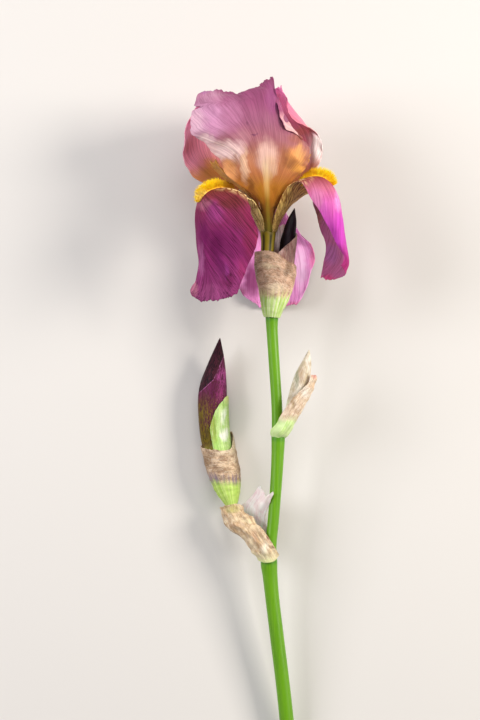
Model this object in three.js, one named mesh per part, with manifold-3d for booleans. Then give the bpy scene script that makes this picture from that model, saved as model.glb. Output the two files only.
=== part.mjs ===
// A cut stalk of bearded iris, laid on a flat surface: one open bloom, a second bud in the same spathe, a large bud on
// a left branch and a small bud in its bracts on the right.
//
// Every piece is modelled in the flower's own standing frame, in millimetres: zero at the throat of the bloom, +Y up
// the stalk, +X to the right, +Z out of the front of the bloom. The whole stalk is then laid on its back, so that +Y
// still points along it and +Z points up from the surface.
import * as THREE from "three";
import { mergeVertices } from "three/addons/utils/BufferGeometryUtils.js";
import Module from "manifold-3d";

// ---- Driving dimensions ----------------------------------------------------------------------------------------
const LAY_TILT = THREE.MathUtils.degToRad(7); // the bloom holds its end of the stalk up by this much
const STALK_END = -333; // height of the cut end, measured down from the throat
const STALK_END_RADIUS = 4.45;
const STALK_TOP = -46.2; // where the bloom's tube and the second bud stand on the stalk
const PRESSED = 0.35; // depth of the flats on which the laid stalk rests
const SURFACE = STALK_END * Math.sin(LAY_TILT) - STALK_END_RADIUS * Math.cos(LAY_TILT) + PRESSED;
const PLAN_CENTRE = [-1.6, -118.9]; // middle of the laid stalk's outline, before it is moved to the origin

const PETAL = 0.7; // thickness of a tepal
const MEMBRANE = 0.65; // thickness of a papery bract
const SEAT = 0.3; // clearance where one piece sits on another
const TUBE_TOP = 1.1; // height of the rim that carries the tepals
const TEPAL_SEAT = TUBE_TOP + SEAT + 0.25;
const TEPAL_RADIUS = 4.0; // how far from the axis a tepal's foot stands
const STAMEN_RADIUS = 2.9;
const STYLE_RADIUS = 1.7;
const FOOT_HALF = 1.4; // half the width of a tepal's foot

// Directions that the pieces of the bloom grow in, in degrees round the axis from the front towards the right.
const AZIMUTH = { front: 0, right: 60, backRight: 120, back: 180, backLeft: -120, left: -60 };

const STYLE_AZIMUTH = { left: -71, right: 68, back: 180 };

const COLOUR = {
  standard: "#b5709a",
  fall: "#8c2f72",
  fallBack: "#d08fc0",
  beard: "#f7c20a",
  style: "#d9a95a",
  anther: "#efe6c8",
  stalk: "#6aa513",
  tube: "#7c7a1c",
  bud: "#5a1f4a",
  darkBud: "#1d0512",
  paper: "#b99b78",
  paperPale: "#d9cba6",
  greenSpathe: "#b7d77a",
};

const wasm = await Module();
wasm.setup();
const { Manifold, Mesh: SolidMesh } = wasm;

// ---- Shapes ----------------------------------------------------------------------------------------------------

const vec = (p) => new THREE.Vector3(p[0], p[1], p[2]);
const smooth = (points) => new THREE.CatmullRomCurve3(points, false, "catmullrom", 0.5);

// A point of the bloom, by its direction round the axis, its distance from it, its height and its offset sideways.
function around(azimuth, radius, height, sideways = 0) {
  const a = THREE.MathUtils.degToRad(azimuth);
  const x = Math.sin(a) * radius + Math.cos(a) * sideways;
  const z = Math.cos(a) * radius - Math.sin(a) * sideways;
  return [x, height, z];
}

// One row of points across a tepal's claw, which is a channel: its margins stand closer to the axis by its depth.
function clawRow(azimuth, radius, height, half, depth, columns = 7) {
  const row = [];
  for (let i = 0; i < columns; i++) {
    const s = (2 * i) / (columns - 1) - 1;
    row.push(around(azimuth, radius - depth * s * s, height, s * half));
  }
  return row;
}

// The smooth surface through rows of points, each row from margin to margin, as a function of u across and v along.
function lattice(rows) {
  const across = rows.map((row) => smooth(row.map(vec)));
  return (u, v) => smooth(across.map((curve) => curve.getPoint(u))).getPoint(v);
}

// A surface cut off along a rim, which is given at even steps across it as shares of its length.
function cutAt(rim, surface) {
  const edge = smooth(rim.map((height) => new THREE.Vector3(height, 0, 0)));
  return (u, v) => surface(u, v * edge.getPoint(u).x);
}

// A sheath round an axis. Each station is [x, y, z, radius across, radius in depth, first angle, last angle], with
// angles in degrees from the front of the stalk towards its right.
function sheath(stations) {
  const centres = smooth(stations.map(vec));
  const radii = smooth(stations.map((s) => new THREE.Vector3(s[3], s[4], 0)));
  const spans = smooth(stations.map((s) => new THREE.Vector3(s[5], s[6], 0)));
  return (u, v) => {
    const radius = radii.getPoint(v);
    const span = spans.getPoint(v);
    const a = THREE.MathUtils.degToRad(span.x + (span.y - span.x) * u);
    const { right, front } = frameAlong(centres, v);
    return centres
      .getPoint(v)
      .addScaledVector(right, Math.sin(a) * radius.x)
      .addScaledVector(front, Math.cos(a) * radius.y);
  };
}

// A spathe that clasps what it holds. The body is a list of [x, y, z, radius across, radius in depth]; the spathe
// stands off it, covers the angles from first to last, and rises from its foot to a rim given at even angles. Foot
// and rim are shares of the body's length.
function clasping(body, { off, first, last, foot, rim }) {
  const centres = smooth(body.map(vec));
  const radii = smooth(body.map((s) => new THREE.Vector3(s[3], s[4] ?? s[3], 0)));
  const edge = smooth(rim.map((height) => new THREE.Vector3(height, 0, 0)));
  return (u, v) => {
    const share = foot + (edge.getPoint(u).x - foot) * v;
    const a = THREE.MathUtils.degToRad(first + (last - first) * u);
    const radius = radii.getPoint(share);
    const { right, front } = frameAlong(centres, share);
    return centres
      .getPoint(share)
      .addScaledVector(right, Math.sin(a) * (radius.x + off))
      .addScaledVector(front, Math.cos(a) * (radius.y + off));
  };
}

// Two directions square to a curve: the one nearest to +X and the one nearest to +Z.
function frameAlong(curve, t) {
  const along = curve.getTangent(t);
  const front = new THREE.Vector3(0, 0, 1).addScaledVector(along, -along.z).normalize();
  return { right: along.clone().cross(front), front };
}

// How far the waves of a margin lift the surface: nothing along the midrib, most at the edges and the tip.
function waveLift(u, v, { height, count, skew = 1.5, phase = 0, power = 2 }) {
  const edge = Math.max(Math.abs(2 * u - 1) ** power * Math.min(1, 2 * v), Math.max(0, 4 * v - 3) ** power);
  const swell = Math.sin(2 * Math.PI * (count * v + skew * u) + phase);
  const ripple = Math.sin(2 * Math.PI * (1.7 * count * v - 1.3 * skew * u) + 2 * phase);
  return height * edge * (0.65 * swell + 0.35 * ripple);
}

// The grid of points and outward directions of a surface, with its margin's waves.
function gridOf(surface, along, across, wave) {
  const flat = [];
  for (let i = 0; i <= along; i++) {
    const row = [];
    for (let j = 0; j <= across; j++) row.push(surface(j / across, i / along));
    flat.push(row);
  }
  if (!wave) return { points: flat, normals: normalsOf(flat) };
  const before = normalsOf(flat);
  const points = flat.map((row, i) =>
    row.map((p, j) => p.clone().addScaledVector(before[i][j], waveLift(j / across, i / along, wave))),
  );
  return { points, normals: normalsOf(points) };
}

// The direction square to the grid at each of its points.
function normalsOf(grid) {
  const last = grid.length - 1;
  const end = grid[0].length - 1;
  return grid.map((row, i) =>
    row.map((p, j) => {
      const acrossStep = grid[i][Math.min(end, j + 1)].clone().sub(grid[i][Math.max(0, j - 1)]);
      const alongStep = grid[Math.min(last, i + 1)][j].clone().sub(grid[Math.max(0, i - 1)][j]);
      return acrossStep.cross(alongStep).normalize();
    }),
  );
}

// A thin blade: the surface with half its thickness on each side, closed round its margin.
function blade(surface, { along, across, thick = PETAL, wave }) {
  const { points, normals } = gridOf(surface, along, across, wave);
  const count = (along + 1) * (across + 1);
  const positions = [];
  for (const side of [1, -1]) {
    for (let i = 0; i <= along; i++) {
      for (let j = 0; j <= across; j++) {
        const p = points[i][j].clone().addScaledVector(normals[i][j], (side * thick) / 2);
        positions.push(p.x, p.y, p.z);
      }
    }
  }
  const at = (i, j) => i * (across + 1) + j;
  const faces = [];
  for (let i = 0; i < along; i++) {
    for (let j = 0; j < across; j++) {
      const [a, b, c, d] = [at(i, j), at(i, j + 1), at(i + 1, j + 1), at(i + 1, j)];
      faces.push(a, b, c, a, c, d);
      faces.push(count + a, count + c, count + b, count + a, count + d, count + c);
    }
  }
  const rim = [];
  for (let j = 0; j < across; j++) rim.push(at(0, j));
  for (let i = 0; i < along; i++) rim.push(at(i, across));
  for (let j = across; j > 0; j--) rim.push(at(along, j));
  for (let i = along; i > 0; i--) rim.push(at(i, 0));
  rim.forEach((a, k) => {
    const b = rim[(k + 1) % rim.length];
    faces.push(a, count + a, count + b, a, count + b, b);
  });
  return indexed(positions, faces);
}

function indexed(positions, faces) {
  const geometry = new THREE.BufferGeometry();
  geometry.setAttribute("position", new THREE.Float32BufferAttribute(positions, 3));
  geometry.setIndex(faces);
  geometry.computeVertexNormals();
  return geometry;
}

// A solid spindle or stem. Each station is [x, y, z, radius]; relief gives the share by which the radius grows at an
// angle (a whole turn is 1) and a height along the piece.
function spindle(stations, { along, sides, relief = () => 0 }) {
  const centres = smooth(stations.map(vec));
  const radii = smooth(stations.map((s) => new THREE.Vector3(s[3], 0, 0)));
  const positions = [];
  for (let i = 0; i <= along; i++) {
    const v = i / along;
    const centre = centres.getPoint(v);
    const { right, front } = frameAlong(centres, v);
    for (let j = 0; j < sides; j++) {
      const turn = j / sides;
      const radius = radii.getPoint(v).x * (1 + relief(turn, v));
      const p = centre.clone();
      p.addScaledVector(right, Math.sin(2 * Math.PI * turn) * radius);
      p.addScaledVector(front, Math.cos(2 * Math.PI * turn) * radius);
      positions.push(p.x, p.y, p.z);
    }
  }
  const foot = centres.getPoint(0);
  const tip = centres.getPoint(1);
  const [footIndex, tipIndex] = [(along + 1) * sides, (along + 1) * sides + 1];
  positions.push(foot.x, foot.y, foot.z, tip.x, tip.y, tip.z);
  const faces = [];
  for (let j = 0; j < sides; j++) {
    const next = (j + 1) % sides;
    for (let i = 0; i < along; i++) {
      const [a, b] = [i * sides + j, i * sides + next];
      faces.push(a, b, b + sides, a, b + sides, a + sides);
    }
    faces.push(footIndex, next, j, tipIndex, along * sides + j, along * sides + next);
  }
  return indexed(positions, faces);
}

// ---- Joining and cutting ---------------------------------------------------------------------------------------

function solid(geometry) {
  const bare = geometry.clone();
  bare.deleteAttribute("normal");
  const merged = mergeVertices(bare, 1e-4);
  const vertProperties = merged.getAttribute("position").array;
  return new Manifold(new SolidMesh({ numProp: 3, vertProperties, triVerts: new Uint32Array(merged.index.array) }));
}

function geometryOf(body) {
  const mesh = body.getMesh();
  return indexed(Array.from(mesh.vertProperties), Array.from(mesh.triVerts));
}

const joined = (geometries) => geometryOf(Manifold.union(geometries.map(solid)));

// Where a piece lies on the surface it is pressed flat: what would stand below the surface is cut away.
function pressedFlat(geometry) {
  const up = [0, Math.sin(LAY_TILT), Math.cos(LAY_TILT)];
  return geometryOf(solid(geometry).trimByPlane(up, SURFACE));
}

function part(name, geometry, colour, roughness = 0.6) {
  const material = new THREE.MeshStandardMaterial({ color: colour, roughness, metalness: 0 });
  const mesh = new THREE.Mesh(geometry, material);
  mesh.name = name;
  return mesh;
}

// ---- Stalk: the flowering stem, with the stub of the right branch and the whole of the left one ------------------

const stemStations = [
  [15, STALK_END, 0, STALK_END_RADIUS],
  [13.6, -317, 0, 4.4],
  [11.2, -291, 0, 4.3],
  [8.6, -267, 0, 4.2],
  [5.6, -243, 0, 4.2],
  [2.7, -219, 0, 4.2],
  [1.3, -205, 0, 4.5],
  [0.6, -196, 0, 5.0],
  [1.5, -186, 0, 3.7],
  [3.2, -171, 0, 3.45],
  [5.0, -147, 0, 3.6],
  [5.8, -132, 0, 3.8],
  [6.1, -121, 0, 4.1],
  [5.6, -113, 0, 3.4],
  [5.2, -100, 0, 3.3],
  [3.9, -80, 0, 3.3],
  [2.5, -58, 0, 3.45],
  [2.3, -49, 0, 3.9],
  [2.2, STALK_TOP, 0, 3.3],
];
const leftBranchStations = [
  [0.2, -197, 0, 3.2],
  [-4.5, -189, -1.2, 3.4],
  [-11, -180, -3.4, 3.3],
  [-17.5, -171.5, -6.6, 3.2],
  [-22.2, -163.9, -10.2, 2.9],
];
const rightBranchStations = [
  [6.3, -121, 0.2, 2.6],
  [8.4, -116, 0.9, 2.6],
  [11.2, -110.5, 1.9, 2.4],
];
function stalk() {
  const stem = spindle(stemStations, { along: 30, sides: 12 });
  const leftBranch = spindle(leftBranchStations, { along: 7, sides: 10 });
  const rightBranch = spindle(rightBranchStations, { along: 2, sides: 10 });
  return part("stalk", pressedFlat(joined([stem, leftBranch, rightBranch])), COLOUR.stalk, 0.35);
}

// ---- Bloom: tube, three standards, three falls with their beards, three style arms and three stamens ---------------

const tubeStations = [
  [1.0, STALK_TOP + SEAT, 0, 1.4],
  [0.8, -39, -0.2, 2.4],
  [0.1, -27, -0.3, 4.0],
  [-0.5, -15, -0.3, 4.0],
  [-0.2, -6, 0, 4.1],
  [0, -2.5, 0, 4.4],
  [0, TUBE_TOP, 0, 5.0],
];

const claw = (azimuth, points, columns = 7) => points.map((p) => clawRow(azimuth, ...p, columns));

const frontStandardRows = [
  ...claw(AZIMUTH.front, [
    [TEPAL_RADIUS, TEPAL_SEAT, FOOT_HALF, 0.2],
    [8.2, 12, 3.0, 1.2],
    [14.6, 23.5, 7.6, 2.6],
  ]),
  [[-25, 34.5, 20], [-14, 35, 21.5], [-6.5, 36, 22], [0.5, 36, 21.5],
   [6, 36, 20.5], [11.5, 35, 18.5], [17, 33.5, 16.5]],
  [[-28.5, 43, 18], [-17, 46, 26], [-8, 47, 26.5], [0.5, 48, 26],
   [8, 48, 23.5], [15, 46, 24], [24, 43.5, 18]],
  [[-36, 51, 18], [-22, 55, 28], [-10, 57, 29], [0, 58, 28], [8, 58, 26], [16, 58, 21], [22.5, 55, 17]],
  [[-45, 58.5, 17], [-27, 63, 27], [-13, 66, 29], [-1, 67, 28],
   [6, 65, 24], [13, 65, 17.5], [10, 61.5, 22.5]],
  [[-47.5, 69, 16], [-31, 72, 25], [-15, 75, 27], [-2, 76, 26], [3, 74, 22], [8.5, 73, 17], [6, 69, 21]],
  [[-44, 79, 14], [-32, 81, 20], [-16, 81, 22], [-4, 85, 21], [1, 84, 18.5], [4.5, 84, 15], [4, 80, 17]],
  [[-38, 87, 11], [-28, 86, 14], [-17, 84, 16], [-8, 88, 16], [-3, 93, 15], [1, 95.5, 13], [4, 93.5, 11]],
];

const backRightStandardRows = [
  ...claw(AZIMUTH.backRight, [[TEPAL_RADIUS, TEPAL_SEAT, FOOT_HALF, 0.2], [9.2, 12, 3.2, 1.1]], 5),
  [[19, 24, -1.5], [18.5, 25, -5.5], [16, 25.5, -9.5], [12, 25, -12.5], [6, 24, -14.5]],
  [[26, 38, 1], [26.5, 39, -7], [24, 40, -15], [17, 40, -21], [4, 38, -23.5]],
  [[31, 48, 3], [30.5, 51, -8], [27, 53, -18], [17, 53, -25], [1, 51, -27]],
  [[30, 59, 2], [29, 61, -8], [26, 63, -17], [15, 65, -23.5], [0, 64, -25]],
  [[20, 66, 2], [22, 68, -6], [19, 71, -14], [11, 74, -18], [-1, 74, -19.5]],
  [[11.5, 75, 4], [13, 78, -3], [12, 81, -9], [7, 83, -13], [-1, 83, -14.5]],
  [[8, 88, 3], [8, 90, -2], [6, 90, -7], [2, 89, -9.5], [-3, 87, -10]],
];

const backLeftStandardRows = [
  ...claw(AZIMUTH.backLeft, [[TEPAL_RADIUS, TEPAL_SEAT, FOOT_HALF, 0.2], [9.2, 12, 3.2, 1.1]], 5),
  [[-5, 24, -18], [-12, 25, -14], [-16, 25.5, -9.5], [-19.5, 25, -5.5], [-21, 24, -1]],
  [[0, 37, -29], [-14, 39, -24.5], [-26, 39, -16], [-34, 37, -9], [-42, 33, -2]],
  [[4, 50, -33], [-16, 52, -30], [-32, 52, -20], [-42, 50, -12], [-51, 48, -4]],
  [[6, 63, -32], [-14, 66, -28.5], [-31, 66, -19], [-41, 64, -12], [-50, 61, -5]],
  [[5, 75, -27], [-10, 78, -23], [-25, 79, -15], [-36, 77, -10], [-45.5, 74, -5]],
  [[2, 84, -20], [-10, 86.5, -17], [-20, 82, -11.5], [-30, 83, -8], [-39, 83, -5]],
];

const rightFallRows = [
  ...claw(AZIMUTH.right, [
    [TEPAL_RADIUS, TEPAL_SEAT, FOOT_HALF, 0.2],
    [9.2, 10, 4.8, 2.3],
    [15.9, 19, 7.6, 3.6],
  ]),
  [[11.5, 28.5, 17.5], [13.5, 28.6, 16.5], [16.5, 29, 14.5], [19.5, 29, 11],
   [21.5, 28, 7], [23, 26, 3], [22.5, 24, -1]],
  [[19.5, 30, 21.5], [22, 32, 20.5], [24.5, 33.6, 17.5], [27.5, 34, 14],
   [29, 32, 10], [28.5, 28, 5], [26, 24, 1]],
  [[25.5, 19.5, 26], [29, 25, 26.5], [32, 30.5, 22], [35, 32.5, 16.5],
   [36, 29, 10], [33, 24, 2], [27, 18.5, -3]],
  [[30.5, 12.5, 29], [35, 17, 30.5], [39, 22, 25.5], [41, 23.5, 17],
   [40.5, 20, 8], [36, 15, -1], [29, 12, -6]],
  [[35.5, 3, 28], [39.5, 6, 30], [43, 9, 25], [44.2, 10, 16.5], [43, 8, 7], [38, 6, -2], [31, 5, -6]],
  [[40, -5.5, 25], [42.5, -5, 25.5], [45, -4, 21], [45.8, -3.5, 15],
   [44, -4, 7], [40, -4.5, 0], [34.5, -5, -3]],
  [[44.5, -13, 21], [46.5, -15, 20], [48, -17, 17], [47.5, -17.5, 13],
   [45, -17.5, 7.5], [39.5, -17.5, 3], [33, -17, 1]],
  [[43, -20, 20], [45, -22.5, 17.5], [45.5, -25, 14], [43.5, -26.5, 11],
   [40, -27.5, 8.5], [35.5, -28.5, 7], [31, -27.5, 6]],
];

const leftFallRows = [
  ...claw(AZIMUTH.left, [
    [TEPAL_RADIUS, TEPAL_SEAT, FOOT_HALF, 0.2],
    [9.2, 10, 5.0, 2.4],
    [16.1, 19, 6.6, 3.0],
  ]),
  [[-21, 24, 3], [-22, 26, 6], [-22, 26.5, 9], [-21, 26, 12],
   [-18, 25, 14], [-15.5, 23.5, 15.5], [-12.5, 21.5, 16]],
  [[-31, 21, 2], [-32, 26, 7], [-31, 29, 12], [-29, 29.5, 16.5],
   [-23, 28, 20], [-17.5, 25.5, 21.5], [-13, 22, 21]],
  [[-30, 10, 2], [-36, 18, 8], [-38, 24, 15], [-36.5, 26, 20.5],
   [-29, 24, 27], [-19, 20, 28.5], [-10.5, 14, 25]],
  [[-33, 0, 1], [-40, 8, 8], [-43, 13, 16.5], [-41, 16, 23.5], [-32, 17, 32], [-19, 12, 33], [-6.5, 2, 27]],
  [[-36, -10, 3], [-42, -4, 10], [-42.6, 0, 18], [-40.5, 2, 24.5],
   [-33, 3, 32], [-20, -1, 34.5], [-7, -8, 28]],
  [[-41, -22, 8], [-41.5, -18, 14], [-40.5, -16, 20], [-37.5, -14, 25],
   [-30, -13, 27], [-21, -15, 32], [-12, -20, 30]],
  [[-46, -32, 12], [-43, -31, 17], [-39, -30, 20.5], [-34, -29, 23.5],
   [-28, -28, 27], [-22, -28, 31], [-16, -30, 32]],
  [[-45, -37.5, 12], [-41.5, -40.5, 15], [-37, -41.5, 18], [-32, -41, 21],
   [-28, -40.5, 25], [-23, -39, 28], [-19, -37, 30]],
];

const backFallRows = [
  ...claw(AZIMUTH.back, [
    [TEPAL_RADIUS, TEPAL_SEAT, FOOT_HALF, 0.2],
    [9, 9, 3.0, 1.0],
    [16, 16, 5.0, 2.0],
  ]),
  [[10, 17, -20.5], [7.5, 19.5, -23], [4.5, 20.5, -24.7], [1, 20.7, -25],
   [-2.5, 20.5, -24.7], [-6, 20, -23], [-9, 19, -20]],
  [[14, 8, -28], [12, 13.5, -32], [7.5, 17.5, -34.5], [2, 18.5, -35.5],
   [-4, 18, -34], [-10, 16, -31], [-14, 11, -27]],
  [[21, 0.5, -36.5], [17, 6, -40], [11, 10, -42.5], [3, 12, -43.5],
   [-5, 11, -42.5], [-13, 8, -39], [-19, 2, -34]],
  [[27, -4.5, -39.5], [22, -1, -42.5], [14, 1.5, -44.3], [4, 2, -45.1],
   [-6, 1, -44], [-15, -2, -41], [-21.5, -7, -37]],
  [[29, -12, -38.5], [23, -10, -41.5], [14, -9, -43.3], [4, -9, -43.9],
   [-6, -9, -43], [-15, -11, -41], [-22, -15, -38]],
  [[27, -21, -36.5], [21, -20, -39.5], [13, -20, -41.5], [4, -20, -42.3],
   [-5, -20, -41.8], [-13, -21.5, -40], [-20, -24, -37.5]],
  [[24, -31, -34.5], [18, -32, -37], [12, -32.5, -38.8], [4, -33, -39.8],
   [-4, -33, -39.5], [-10, -33, -38.2], [-16, -33.5, -36]],
  [[18, -41.5, -32.5], [14, -43, -34.5], [9, -44.5, -35.8], [3.5, -45.5, -36.5],
   [-2, -44.5, -36.3], [-6, -42.5, -35.6], [-10, -39.5, -34.5]],
];

const TEPALS = [
  {
    name: "standard_front", rows: frontStandardRows, colour: COLOUR.standard,
    grid: [19, 14], wave: { height: 1.3, count: 4.5, skew: 2.2, phase: 0.4 },
  },
  {
    name: "standard_back_right", rows: backRightStandardRows, colour: COLOUR.standard,
    grid: [18, 12], wave: { height: 1.2, count: 4.2, skew: 1.7, phase: 2.1 },
  },
  {
    name: "standard_back_left", rows: backLeftStandardRows, colour: COLOUR.standard,
    grid: [18, 12], wave: { height: 1.1, count: 4.0, skew: 1.6, phase: 4.0 },
  },
  {
    name: "fall_right", rows: rightFallRows, colour: COLOUR.fallBack,
    grid: [19, 12], wave: { height: 0.8, count: 4.0, skew: 1.2, phase: 1.0, power: 3 },
  },
  {
    name: "fall_left", rows: leftFallRows, colour: COLOUR.fall,
    grid: [19, 12], wave: { height: 0.9, count: 4.4, skew: 1.4, phase: 3.0, power: 3 },
  },
  {
    name: "fall_back", rows: backFallRows, colour: COLOUR.fallBack,
    grid: [19, 12], wave: { height: 0.8, count: 4.2, skew: 1.3, phase: 5.0, power: 3 },
  },
];

function tepal({ name, rows, colour, grid: [along, across], wave }) {
  const shape = blade(lattice(rows), { along, across, wave });
  return part(name, name === "fall_back" ? pressedFlat(shape) : shape, colour);
}

// The beard stands on the midrib of a fall's upper face: a low pad that follows the midrib, set with stiff hairs.
const BEARD = { half: 2.0, pad: 1.6, hair: 4.2, root: 0.5, steps: 9, lanes: 3 };
function beard(name, fall, from, to) {
  const surface = lattice(fall.rows);
  const samples = [];
  for (let i = 0; i <= BEARD.steps; i++) {
    const v = from + ((to - from) * i) / BEARD.steps;
    const step = 0.004;
    const centre = surface(0.5, v);
    const along = surface(0.5, v + step).sub(surface(0.5, v - step)).normalize();
    const acrossStep = surface(0.5 + step, v).sub(surface(0.5 - step, v)).normalize();
    const up = along.clone().cross(acrossStep).normalize();
    const share = i / BEARD.steps;
    const swell = Math.min(1, 0.35 + 2.5 * share, 0.5 + 4 * (1 - share));
    samples.push({ centre, along, side: up.clone().cross(along).normalize(), up, swell });
  }
  const lift = PETAL / 2 + SEAT + 0.1;
  const solids = [solid(beardPad(samples, lift))];
  samples.forEach((s, i) => {
    for (let lane = 0; lane < BEARD.lanes; lane++) {
      const across = (lane + (i % 2 ? 0.7 : 0.3)) / BEARD.lanes - 0.5;
      const lean = 1.5 * across;
      const height = BEARD.hair * (0.55 + 0.45 * s.swell) * (1 - 0.35 * Math.abs(lean));
      const root = s.centre.clone().addScaledVector(s.up, lift + 0.2);
      root.addScaledVector(s.side, 1.6 * BEARD.half * s.swell * across);
      const towards = s.up.clone().addScaledVector(s.side, lean).addScaledVector(s.along, 0.35).normalize();
      solids.push(solid(hair(root, towards, height + BEARD.pad * 0.5, BEARD.root)));
    }
  });
  return part(name, geometryOf(Manifold.union(solids)), COLOUR.beard, 0.8);
}

function beardPad(samples, lift) {
  const profile = [[-1, 0], [-0.75, 0.7], [0, 1], [0.75, 0.7], [1, 0]];
  const positions = [];
  samples.forEach((s) =>
    profile.forEach(([side, up]) => {
      const p = s.centre.clone().addScaledVector(s.up, lift + up * BEARD.pad * s.swell);
      p.addScaledVector(s.side, side * BEARD.half * s.swell);
      positions.push(p.x, p.y, p.z);
    }),
  );
  const n = profile.length;
  const faces = [];
  for (let i = 0; i < samples.length - 1; i++) {
    for (let j = 0; j < n; j++) {
      const [a, b] = [i * n + j, i * n + ((j + 1) % n)];
      faces.push(a, b + n, b, a, a + n, b + n);
    }
  }
  const end = (samples.length - 1) * n;
  for (let j = 1; j < n - 1; j++) faces.push(0, j, j + 1, end, end + j + 1, end + j);
  return indexed(positions, faces);
}

// One hair: a three-sided spike.
function hair(root, towards, height, radius) {
  const spike = new THREE.ConeGeometry(radius, height, 3, 1);
  spike.deleteAttribute("normal");
  spike.deleteAttribute("uv");
  spike.translate(0, height / 2, 0);
  const turn = new THREE.Quaternion().setFromUnitVectors(new THREE.Vector3(0, 1, 0), towards);
  spike.applyQuaternion(turn);
  spike.translate(root.x, root.y, root.z);
  return mergeVertices(spike);
}

// A style arm is a narrow arched petal over each fall's claw, and ends in a crest of two upturned lobes.
function styleArm(name, azimuth, reach, rise, breadth = 1) {
  const bow = (radius, height, half, drop, notch = 0) => {
    const row = [];
    for (let i = 0; i < 5; i++) {
      const s = i / 2 - 1;
      row.push(around(azimuth, radius, height - drop * s * s + notch * s * s, s * half * breadth));
    }
    return row;
  };
  const rows = [
    bow(STYLE_RADIUS, TEPAL_SEAT, 0.6, 0),
    bow(2.4, 9, 1.2, 0.1),
    bow(reach * 0.24, rise * 0.45, 3.0, 0.8),
    bow(reach * 0.46, rise * 0.64, 4.4, 1.4),
    bow(reach * 0.7, rise * 0.76, 5.4, 1.6),
    bow(reach * 0.86, rise * 0.86, 5.6, 0.6),
    bow(reach * 0.96, rise * 0.93, 5.2, 0, 3.0),
  ];
  return part(name, blade(lattice(rows), { along: 11, across: 6, thick: 0.65 }), COLOUR.style);
}

// A stamen: a thin filament and a long anther, lying between a style arm and the claw under it.
function stamen(name, azimuth) {
  const stations = [
    [STAMEN_RADIUS, TEPAL_SEAT, 0.42],
    [4.6, 9, 0.45],
    [7.4, 15, 0.5],
    [9.2, 18, 1.0],
    [11.5, 21, 1.25],
    [15.5, 24.6, 1.2],
    [18.5, 26.8, 0.5],
  ];
  const path = stations.map(([radius, height, r]) => [...around(azimuth, radius, height), r]);
  return part(name, spindle(path, { along: 10, sides: 6 }), COLOUR.anther);
}

// ---- Spathe of the bloom, and the second bud that it holds ---------------------------------------------------------

const secondBudStations = [
  [4.1, STALK_TOP + 2 * SEAT, 0.2, 1.0],
  [6.4, -37, 0.6, 2.0],
  [8.6, -26, 1.0, 3.3],
  [10.2, -14, 1.0, 4.0],
  [12.1, -2, 0.8, 4.1],
  [14.2, 8, 0.6, 2.9],
  [15.9, 16, 0.4, 0.25],
];

// The oval that both spathes share, round the tube and the second bud: the outer stands on it, the inner inside it.
const spatheOval = [
  [2.3, -49.4, 0, 4.7, 4.7],
  [2.5, -46.4, 0, 5.5, 5.5],
  [3.0, -42, 0, 6.9, 6.2],
  [4.0, -35, 0.2, 9.0, 6.9],
  [4.6, -28, 0.4, 10.8, 7.5],
  [4.7, -20, 0.5, 12.0, 7.9],
  [4.9, -14, 0.5, 12.4, 8.0],
  [5.2, -9, 0.5, 12.7, 8.0],
  [5.7, -3, 0.5, 12.8, 7.8],
  [6.2, 3.5, 0.5, 12.5, 7.6],
  [7.6, 10, 0.2, 11.2, 8.6],
];
const outerSpathe = {
  off: 0, first: -172, last: 172, foot: 0,
  rim: [0.5, 0.576, 0.63, 0.666, 0.68, 0.698, 0.67, 0.594, 0.558, 0.518, 0.477, 0.432, 0.4],
};
const innerSpathe = {
  off: -1.2, first: 0, last: 262, foot: 0.1,
  rim: [0.66, 0.78, 0.846, 0.891, 0.93, 0.98, 0.88, 0.7, 0.6],
};

// ---- Left branch: bracts, spathes and the large bud ----------------------------------------------------------------

// The lower bract springs from the node, crosses in front of the stalk and cups the branch.
const lowerBractRows = [
  [[-5.8, -193, -4.8], [-5.6, -195, 1.0], [-1.2, -196.4, 5.8], [3.4, -195.4, 5.4], [6.4, -192, 0.6]],
  [[-7.6, -189.6, -6.0], [-8.3, -190.6, -0.4], [-4.9, -190.4, 4.4], [0.6, -190, 5.8], [5.2, -189.2, 3.8]],
  [[-9.5, -186, -6.1], [-11.2, -187.2, -1.6], [-8.4, -185.6, 2.5], [-3.0, -184.8, 4.1], [3.2, -185.4, 5.0]],
  [[-14.5, -179.7, -8.1], [-16.5, -180.6, -3.6], [-13.2, -178.8, 1.0],
   [-8.2, -177.4, 2.0], [-1.8, -178.2, 3.0]],
  [[-21.5, -175.5, -11.5], [-23.6, -176.2, -6.5], [-19.6, -173.7, -1.4],
   [-14, -171.2, -1.0], [-8.8, -171.4, -2.4]],
  [[-25, -168.9, -14.8], [-27.4, -168.6, -9.5], [-23.6, -167, -4.0],
   [-18, -166, -3.6], [-13.6, -166.5, -5.6]],
  [[-25.2, -163.6, -15.9], [-27.8, -163.4, -11.4], [-24.8, -161.8, -5.2],
   [-20.8, -160.8, -4.5], [-17.3, -161, -7.2]],
];
// The thin bract behind the branch, whose two pale lobes stand up beside the stalk.
const lobedBractRows = [
  [[3.6, -187.5, -6.0], [1.2, -185.5, -7.6], [-2.4, -184.5, -9.0], [-6.5, -184, -10.4], [-10, -184, -11.4]],
  [[0.2, -178, -5.6], [-2.6, -176.5, -7.6], [-7.0, -175.5, -9.8],
   [-11.5, -174, -12.2], [-15.5, -173, -13.6]],
  [[-1.7, -170, -4.0], [-4.6, -169, -6.8], [-9.0, -168, -9.6], [-13.5, -167, -12.6], [-18, -166, -14.6]],
  [[0.6, -162, 2.6], [-3.4, -162, -0.8], [-7.4, -162, -7.8], [-12.0, -162, -11.0], [-17, -162, -13.6]],
  [[2.6, -157, 4.8], [-0.4, -156.4, 3.0], [-3.0, -156, -4.6], [-8.0, -156, -8.6], [-13, -157, -11.0]],
  [[5.0, -152.6, 6.8], [2.0, -152, 5.0], [-1.5, -150.5, -3.0], [-5.8, -149.6, -6.6], [-10, -151, -9.0]],
];
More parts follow.
